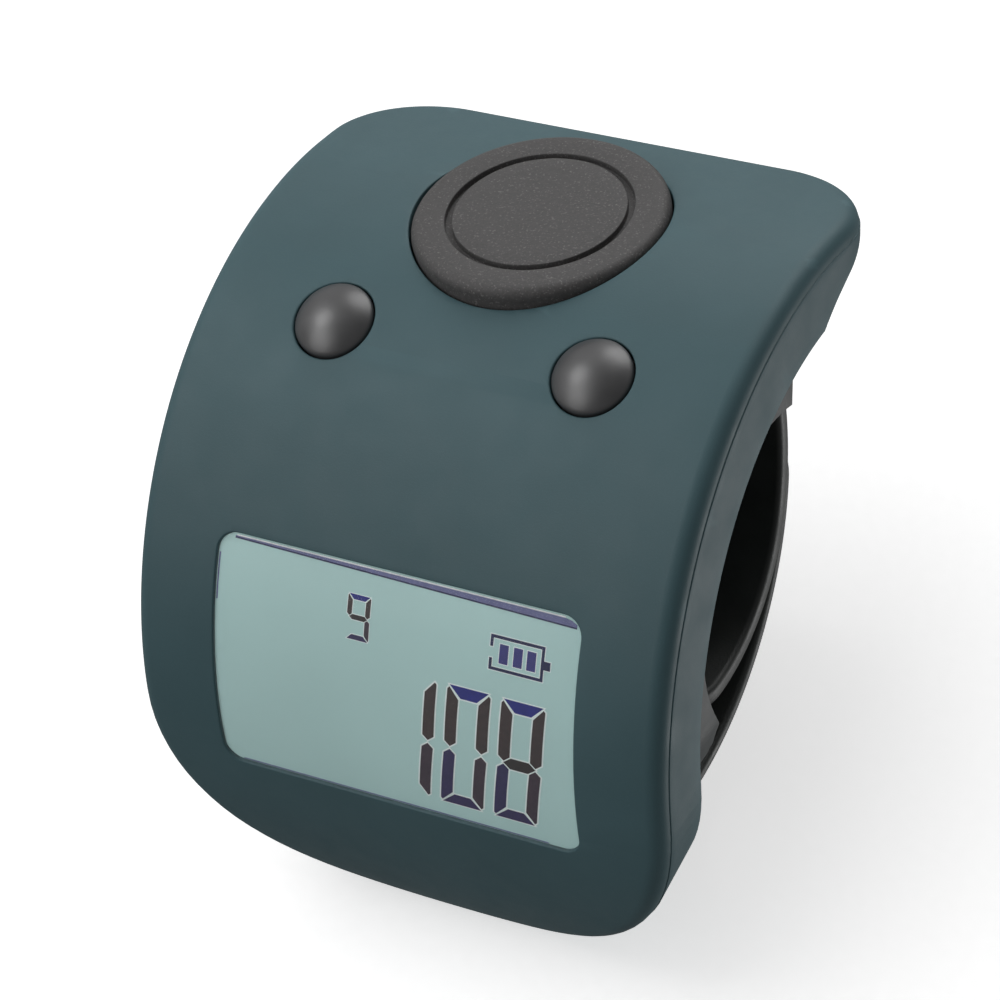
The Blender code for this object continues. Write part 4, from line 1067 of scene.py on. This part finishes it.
def build_screw(node, seat):
    """A pan-head screw with a cross recess, as long as its node; its head faces the finger."""
    shape = bmesh.new()
    back = seat.inverted()
    heights = [(back @ vertex.co).z for vertex in NODES[node].data.vertices]
    head, tip = min(heights), max(heights)
    shoulder = head + SCREW_HEAD_HEIGHT
    steps = 48
    edge = SCREW_HEAD_ROUND

    def ring(radius, height):
        return [(*polar((0.0, 0.0), radius, 360.0 * i / steps), height) for i in range(steps)]

    def cross(scale, height):
        arm, half = CROSS_REACH * scale, CROSS_HALF * scale
        arms = [(half, -arm), (half, -half), (arm, -half), (arm, half), (half, half), (half, arm)]
        return [(x, y, height) for x, y in arms + [(-x, -y) for x, y in arms]]

    outer = add_loop(shape, ring(SCREW_HEAD_RADIUS - edge, head))
    recess = add_loop(shape, cross(1.0, head))
    fill(shape, [outer[1], recess[1]], (0.0, 0.0, 1.0))
    floor = skirt(shape, recess[0], [cross(scale, head + depth) for scale, depth in CROSS_ROWS])
    fill(shape, [rim_edges(floor)], (0.0, 0.0, 1.0))
    rows = [ring(SCREW_HEAD_RADIUS - edge * (1.0 - s), head + edge * (1.0 - c)) for s, c in quarter(4)]
    rows += [ring(SCREW_HEAD_RADIUS, shoulder), ring(SCREW_SHAFT_RADIUS, shoulder)]
    turns = max(1, int((tip - shoulder - PLAIN_LENGTH) / THREAD_PITCH))
    for turn in range(turns):
        start = shoulder + THREAD_MARGIN + turn * THREAD_PITCH
        rows.append(ring(SCREW_SHAFT_RADIUS, start))
        rows.append(ring(SCREW_SHAFT_RADIUS - THREAD_DEPTH, start + THREAD_PITCH / 2))
    for share, height in zip(POINT_SHARES, (tip - THREAD_MARGIN, tip)):
        rows.append(ring(SCREW_SHAFT_RADIUS * share, height))
    end = skirt(shape, outer[0], rows)
    fill(shape, [rim_edges(end)], (0.0, 0.0, 1.0))
    bmesh.ops.transform(shape, verts=shape.verts, matrix=seat)
    bmesh.ops.recalc_face_normals(shape, faces=shape.faces)
    return shape


class TALLY_OT_display(bpy.types.Operator):
    """Build the display, its figures and the clear window over them"""
    bl_idname = "tally.build_display"
    bl_label = "Display"

    def execute(self, context):
        settings = context.scene.tally_display
        panel, ink, halo, clear = display_materials(settings)
        cell = plate_shape(window_plan(CELL_INSET), CELL_DEPTHS)
        new_piece("display_cell", cell, panel, "case", ("lcd_cell",))
        film = plate_shape(window_plan(FILM_INSET), FILM_DEPTHS, FILM_ROUND)
        new_piece("window_glass", film, clear, "case", ("display_lens",))
        count = figure_places(
            str(settings.count), width=settings.figure_width, height=settings.figure_height,
            stroke=settings.figure_stroke, **COUNT_FIGURES,
        )
        memory = figure_places(str(settings.memory), **MEMORY_FIGURES)
        battery = battery_places()
        # Besides the figures and the battery, the ink carries the painted highlight and reflection lines
        # along the window's edges.
        places = [*count, *memory, *battery, *border_places()]
        new_piece("figure_ink_and_painted_glints", printed_shape(places, FIGURE_DEPTHS["ink"]), ink, "case")
        pale = [(WHITE, grow(outline, HALO_WIDTHS["count"])) for _, outline in count]
        pale += [(WHITE, grow(outline, HALO_WIDTHS["small"])) for _, outline in (*memory, *battery)]
        new_piece("figure_halo", printed_shape(pale, FIGURE_DEPTHS["halo"]), halo, "case")
        return {"FINISHED"}


class TALLY_OT_buttons(bpy.types.Operator):
    """Build the round count button and the two small domes"""
    bl_idname = "tally.build_buttons"
    bl_label = "Buttons"

    def execute(self, context):
        settings = context.scene.tally_buttons
        build_count_button(settings)
        build_domes(settings)
        return {"FINISHED"}


def build_count_button(settings):
    """A flat round pad with an engraved ring, hollow below and with a post for its switch."""
    ring_in = settings.ring_radius - settings.ring_width / 2
    ring_out = settings.ring_radius + settings.ring_width / 2
    rise = COUNT_RISE
    rim = settings.rim_round
    lip = GROOVE_LIP
    floor = rise - GROOVE_DEPTH
    skirt_in = COUNT_RADIUS - SKIRT_WALL
    profile = [
        *((radius, rise) for radius in TOP_RINGS),
        *rounded_run((ring_in - lip, rise - lip), lip, 90.0, 0.0, 3),
        *rounded_run((ring_in + lip, floor + lip), lip, 180.0, 270.0, 3),
        *rounded_run((ring_out - lip, floor + lip), lip, 270.0, 360.0, 3),
        *rounded_run((ring_out + lip, rise - lip), lip, 180.0, 90.0, 3),
        *rounded_run((COUNT_RADIUS - rim, rise - rim), rim, 90.0, 0.0, 8),
        (COUNT_RADIUS, -SKIRT_MIDDLE), (COUNT_RADIUS, -SKIRT_DEPTH), (skirt_in, -SKIRT_DEPTH),
        (skirt_in, -SKIRT_CEILING), (POST_RADIUS, -SKIRT_CEILING), (POST_RADIUS, -POST_DEPTH),
        (0.0, -POST_DEPTH),
    ]
    rubber = grainy_rubber("count_rubber", tuple(settings.count_colour))
    pad = turned(profile, PAD_STEPS, COUNT_SEAT)
    new_piece("count_pad", pad, rubber, "count_button", ("count_button",), BUTTON_CREASE)


def build_domes(settings):
    """A cap cut from a sphere on each side, with its flange and stem below the case's wall."""
    rise = settings.dome_rise
    sphere = (SIDE_RADIUS ** 2 + rise ** 2) / (2 * rise)
    reach = math.degrees(math.asin(SIDE_RADIUS / sphere))
    cap = rounded_run((0.0, rise - sphere), sphere, 90.0, 90.0 - reach * CAP_SHARE, 20)
    flange_end = -FLANGE_DEPTH - FLANGE_THICKNESS
    stem_end = flange_end - STEM_LENGTH
    profile = [
        (0.0, rise), *cap[1:], (SIDE_RADIUS - DOME_LIP * 0.2, -DOME_LIP * 0.4), (SIDE_RADIUS, -DOME_LIP * 2),
        (SIDE_RADIUS, -FLANGE_DEPTH), (FLANGE_RADIUS, -FLANGE_DEPTH), (FLANGE_RADIUS, flange_end),
        (STEM_RADIUS, flange_end), (STEM_RADIUS, stem_end), (0.0, stem_end),
    ]
    gloss = satin_gloss("dome_gloss", tuple(settings.dome_colour))
    for name, side in (("left", -1), ("right", 1)):
        seat = SIDE_SEAT @ Matrix.Translation((side * SIDE_OFFSET, 0.0, 0.0))
        node = f"{name}_button"
        dome = turned(profile, SIDE_STEPS, seat)
        new_piece(f"{name}_dome", dome, gloss, node, (node,), BUTTON_CREASE)


class TALLY_OT_straps(bpy.types.Operator):
    """Build the two strap halves with their slots and stud"""
    bl_idname = "tally.build_straps"
    bl_label = "Straps"

    def execute(self, context):
        settings = context.scene.tally_strap
        rubber = soft_strap("strap_rubber", tuple(settings.strap_colour))
        slots = [LOWER_STRAP.length - place for place in SLOT_PLACES]
        upper = (UPPER_STRAP, UPPER_STRAP_HALF, UPPER_STRAP_THICKNESS, (STRAP_CORNER, ROOT_CORNER), ())
        lower = (LOWER_STRAP, LOWER_STRAP_HALF, LOWER_STRAP_THICKNESS, (ROOT_CORNER, STRAP_CORNER), slots)
        eyes = ((UPPER_PIN, UPPER_EYE_RADIUS), (LOWER_PIN, LOWER_EYE_RADIUS))
        for node, band, (pin, radius) in zip(("upper_strap", "lower_strap"), (upper, lower), eyes):
            shape = build_band(*band, settings.edge_round, settings.slot_round)
            new_piece(f"{node}_band", shape, rubber, node, (node,))
            new_piece(f"{node}_eye", build_eye(pin, radius, band[1]), rubber, node)
        stud_place = slots[0] + STUD_BELOW_TOP - SLOT_SIZE[1] / 2 + STUD_RADIUS
        new_piece("strap_stud", build_stud(stud_place), rubber, "upper_strap")
        return {"FINISHED"}


def build_band(track, half, thickness, corners, slots, edge, slot_edge):
    """A soft band drawn flat, with round edges and slots, then wrapped on its track."""
    shape = bmesh.new()
    top = thickness / 2

    def outline(inset):
        first, last = (corner - inset for corner in corners)
        return plan(half - inset, inset, track.length - inset, first, last, steps=14)

    def slot_outline(station, inset):
        slot_half, reach = (size / 2 - inset for size in SLOT_SIZE)
        corner = SLOT_CORNER - inset
        return plan(slot_half, station - reach, station + reach, corner, corner, steps=10)

    def rows(draw, radius):
        turns = [(0.0, 1.0), *quarter(5)]
        down = [(radius * (1.0 - sine), top - radius * (1.0 - cosine)) for sine, cosine in turns[1:]]
        up = [(radius * (1.0 - sine), radius * (1.0 - cosine) - top) for sine, cosine in reversed(turns)]
        return [[(x, y, height) for x, y in draw(inset)] for inset, height in down + up]

    rims = [(outline, edge)]
    for station in slots:
        rims.append((lambda inset, s=station: slot_outline(s, -inset), slot_edge))
    loops = [add_loop(shape, [(x, y, top) for x, y in draw(radius)]) for draw, radius in rims]
    fill(shape, [edges for _, edges in loops], (0.0, 0.0, 1.0))
    ends = [skirt(shape, points, rows(*rim)) for (points, _), rim in zip(loops, rims)]
    fill(shape, [rim_edges(points) for points in ends], (0.0, 0.0, -1.0))
    wrap(shape, track, COARSE_SLICE)
    bmesh.ops.recalc_face_normals(shape, faces=shape.faces)
    return shape


def build_eye(pin, radius, half):
    """The rolled end of a strap round its pin, turned about X."""
    edge = EYE_ROUND
    profile = [
        (EYE_BORE, -half), *rounded_run((radius - edge, edge - half), edge, -90.0, 0.0, 4),
        *rounded_run((radius - edge, half - edge), edge, 0.0, 90.0, 4), (EYE_BORE, half),
    ]
    place = PLACE @ Matrix.Translation((0.0, *pin)) @ Matrix.Rotation(math.radians(90.0), 4, "Y")
    return turned(profile, EYE_STEPS, place, ring=True)


def build_stud(lower_place):
    """The stud on the inner band, which stands through a slot of the outer one."""
    target = LOWER_STRAP.point(lower_place)
    steps = 400
    stations = [UPPER_STRAP.length * step / steps for step in range(steps + 1)]
    station = min(stations, key=lambda place: (UPPER_STRAP.point(place) - target).length)
    root = UPPER_STRAP_THICKNESS / 2 - STUD_ROOT
    head = UPPER_STRAP_THICKNESS / 2 + STRAP_GAP + LOWER_STRAP_THICKNESS + STUD_PROUD
    dome = rounded_run((STUD_RADIUS - STUD_ROUND, head - STUD_ROUND), STUD_ROUND, 90.0, 0.0, 5)
    profile = [(0.0, head), *dome, (STUD_RADIUS, root), (0.0, root)]
    seat = seat_matrix(UPPER_STRAP.point(station), UPPER_STRAP.tilt(station))
    return turned(profile, STUD_STEPS, seat)


# Inner parts: for each finish the nodes that have it, its colour and its roughness.
INNER_LOOKS = {
    "light_guide": (("backlight_panel", "backlight_led"), (0.80, 0.84, 0.82), 0.35),
    "board_green": (("main_board", "count_board", "function_board"), (0.02, 0.12, 0.055), 0.42),
    "ribbon_amber": (("upper_ribbon", "lower_ribbon"), (0.42, 0.20, 0.05), 0.38),
    "chip_black": (("controller_chip",), (0.012, 0.012, 0.013), 0.50),
    "rubber_grey": (("lcd_connector",), (0.10, 0.10, 0.11), 0.70),
    "switch_black": (("count_switch", "left_switch", "right_switch"), (0.015, 0.015, 0.016), 0.45),
    "plunger_grey": (("count_plunger", "left_plunger", "right_plunger"), (0.05, 0.05, 0.05), 0.5),
    "frame_black": (("display_frame",), (0.012, 0.018, 0.019), CASE_ROUGHNESS),
}


class TALLY_OT_works(bpy.types.Operator):
    """Finish the parts inside the case: boards, switches, cell and contacts"""
    bl_idname = "tally.finish_works"
    bl_label = "Inner Parts"

    def execute(self, context):
        for name, (nodes, colour, roughness) in INNER_LOOKS.items():
            material = moulded(name, colour, roughness, 0.2, 0.12)
            for node in nodes:
                give_material(node, material)
        steel = plain_steel("cell_steel", (0.60, 0.61, 0.62), 0.26)
        spring = plain_steel("contact_plate", (0.66, 0.60, 0.45), 0.30)
        finished_copy("button_cell", "coin_cell", steel, "case")
        for node in ("negative_contact", "positive_contact"):
            give_material(node, spring)
        return {"FINISHED"}


def give_material(node, material):
    for slot in NODES[node].material_slots:
        slot.material = material


# The stage. Each light has its offset from the middle of the counter and its size.
STAGE_MIDDLE = (0.0, -0.003, 0.018)
LIGHT_PLACES = {
    "side_light": ((0.14, 0.07, -0.10), 0.10),
    "key_light": ((-0.14, 0.13, 0.34), 0.26),
    "front_light": ((-0.17, -0.25, 0.24), 0.30),
    "back_light": ((-0.09, 0.34, 0.17), 0.34),
    "gloss_light": ((-0.20, -0.03, 0.31), 0.20),
    "rim_light": ((0.05, 0.33, 0.21), 0.28),
    "floor_light": ((-0.13, 0.03, 0.28), 0.36),
}
FLOOR_REACH = 3.0
SKY_SIGHT = (-0.60, 0.35, 0.72)
SKY_RISE = (0.2, 0.95)

# The photo's camera in the case's own frame: what it aims at, its line of sight and its right.
CAMERA_AIM = (0.001106, 0.0, 0.0)
CAMERA_TOWARDS = (0.43969, -0.78985, 0.42756)
CAMERA_RIGHT = (0.87374, 0.48639, 0.0)


class TALLY_OT_stage(bpy.types.Operator):
    """Set the floor, the lights and the camera"""
    bl_idname = "tally.build_stage"
    bl_label = "Stage"

    def execute(self, context):
        settings = context.scene.tally_stage
        floor = build_floor(settings.floor_glow)
        add_light("side_light", settings.side_power)
        lamps = [
            add_light("key_light", settings.key_power, gloss=False),
            add_light("front_light", settings.front_power),
            add_light("back_light", settings.back_power, gloss=False),
            add_light("gloss_light", settings.gloss_power, matt=False),
            add_light("rim_light", settings.rim_power, matt=False),
        ]
        link_lights(lamps, floor, "EXCLUDE")
        overhead = add_light("floor_light", settings.floor_power)
        link_lights([overhead], floor, "INCLUDE")
        set_sky(settings.fill, settings.ceiling)
        set_camera(context, settings)
        context.scene.view_settings.view_transform = "Standard"
        return {"FINISHED"}


def build_floor(glow):
    """White paper; the light that it would throw back up comes from the sky and the side light."""
    shape = bmesh.new()
    bmesh.ops.create_grid(shape, x_segments=1, y_segments=1, size=FLOOR_REACH)
    floor = mesh_object("floor", shape)
    floor.visible_diffuse = False
    floor.visible_glossy = False
    floor.visible_shadow = False
    paper, shader = surface(
        "floor_paper", Roughness=0.9, Specular_IOR_Level=0.0, Emission_Color=(1.0, 1.0, 1.0, 1.0),
        Emission_Strength=glow,
    )
    tone = ramp(paper, noise(paper, 1400.0), ((0.3, (0.88, 0.88, 0.88)), (0.7, (0.94, 0.94, 0.94))))
    join(paper, tone, shader.inputs["Base Color"])
    floor.data.materials.append(paper)
    return floor


def add_light(name, power, matt=True, gloss=True):
    """A round soft light that aims at the counter's middle; it may light only matt or only gloss."""
    offset, size = LIGHT_PLACES[name]
    light = bpy.data.lights.new(name, "AREA")
    light.shape = "DISK"
    light.size = size
    light.energy = power
    lamp = add_object(name, light)
    lamp.location = Vector(STAGE_MIDDLE) + Vector(offset)
    lamp.rotation_euler = Vector(offset).to_track_quat("Z", "Y").to_euler()
    lamp.visible_diffuse = matt
    lamp.visible_glossy = gloss
    return lamp


def link_lights(lamps, thing, state):
    """Lights that fall on one object alone, or on all but one."""
    linked = bpy.data.collections.new(f"{thing.name}_{state.lower()}")
    linked.objects.link(thing)
    linked.collection_objects[0].light_linking.link_state = state
    for lamp in lamps:
        lamp.light_linking.receiver_collection = linked


def set_sky(fill, ceiling):
    """A white room that grows lighter towards a line of sight above and behind the counter."""
    world = bpy.data.worlds.new("soft_room")
    world.use_nodes = True
    background = world.node_tree.nodes["Background"]
    background.inputs["Color"].default_value = (1.0, 1.0, 1.0, 1.0)
    sight = add_node(world, "ShaderNodeTexCoord")
    towards = add_node(world, "ShaderNodeVectorMath", operation="DOT_PRODUCT")
    towards.inputs[1].default_value = Vector(SKY_SIGHT).normalized()
    join(world, sight.outputs["Generated"], towards.inputs[0])
    strength = between(world, towards.outputs["Value"], fill, fill + ceiling, *SKY_RISE)
    join(world, strength, background.inputs["Strength"])
    bpy.context.scene.world = world


def set_camera(context, settings):
    """The photo's camera, set by its aim and two of its axes."""
    aim = PLACE @ Vector(CAMERA_AIM)
    turn = PLACE.to_3x3()
    towards = turn @ Vector(CAMERA_TOWARDS)
    right = turn @ Vector(CAMERA_RIGHT)
    up = towards.cross(right).normalized()
    camera = bpy.data.cameras.new("photo_camera")
    camera.lens = settings.lens
    camera.sensor_width = 36.0
    camera.clip_start = 0.01
    view = add_object("photo_camera", camera)
    axes = Matrix((right.normalized(), up, towards.normalized())).transposed().to_4x4()
    view.matrix_world = Matrix.Translation(aim + towards * settings.camera_distance) @ axes
    context.scene.camera = view


class TALLY_PT_panel(bpy.types.Panel):
    """Tally counter tools"""
    bl_idname = "TALLY_PT_panel"
    bl_label = "Tally Counter"
    bl_space_type = "VIEW_3D"
    bl_region_type = "UI"
    bl_category = "Tally Counter"

    def draw(self, context):
        column = self.layout.column(align=True)
        for operator in OPERATORS:
            column.operator(operator.bl_idname)
        for name, group in SETTINGS.items():
            held = getattr(context.scene, name)
            box = self.layout.box()
            for prop in group.__annotations__:
                box.prop(held, prop)


OPERATORS = (
    TALLY_OT_cover, TALLY_OT_rear, TALLY_OT_display, TALLY_OT_buttons, TALLY_OT_straps,
    TALLY_OT_works, TALLY_OT_stage,
)
SETTINGS = {
    "tally_case": CounterCase, "tally_buttons": CounterButtons, "tally_display": CounterDisplay,
    "tally_strap": CounterStrap, "tally_stage": CounterStage,
}


def register():
    for group in (*SETTINGS.values(), *OPERATORS, TALLY_PT_panel):
        bpy.utils.register_class(group)
    for name, group in SETTINGS.items():
        setattr(bpy.types.Scene, name, bpy.props.PointerProperty(type=group))


def unregister():
    for name in SETTINGS:
        delattr(bpy.types.Scene, name)
    for group in reversed((*SETTINGS.values(), *OPERATORS, TALLY_PT_panel)):
        bpy.utils.unregister_class(group)


def main():
    register()
    for build in (
        bpy.ops.tally.build_cover, bpy.ops.tally.build_rear, bpy.ops.tally.build_display,
        bpy.ops.tally.build_buttons, bpy.ops.tally.build_straps, bpy.ops.tally.finish_works,
        bpy.ops.tally.build_stage,
    ):
        build()


if __name__ == "__main__":
    main()
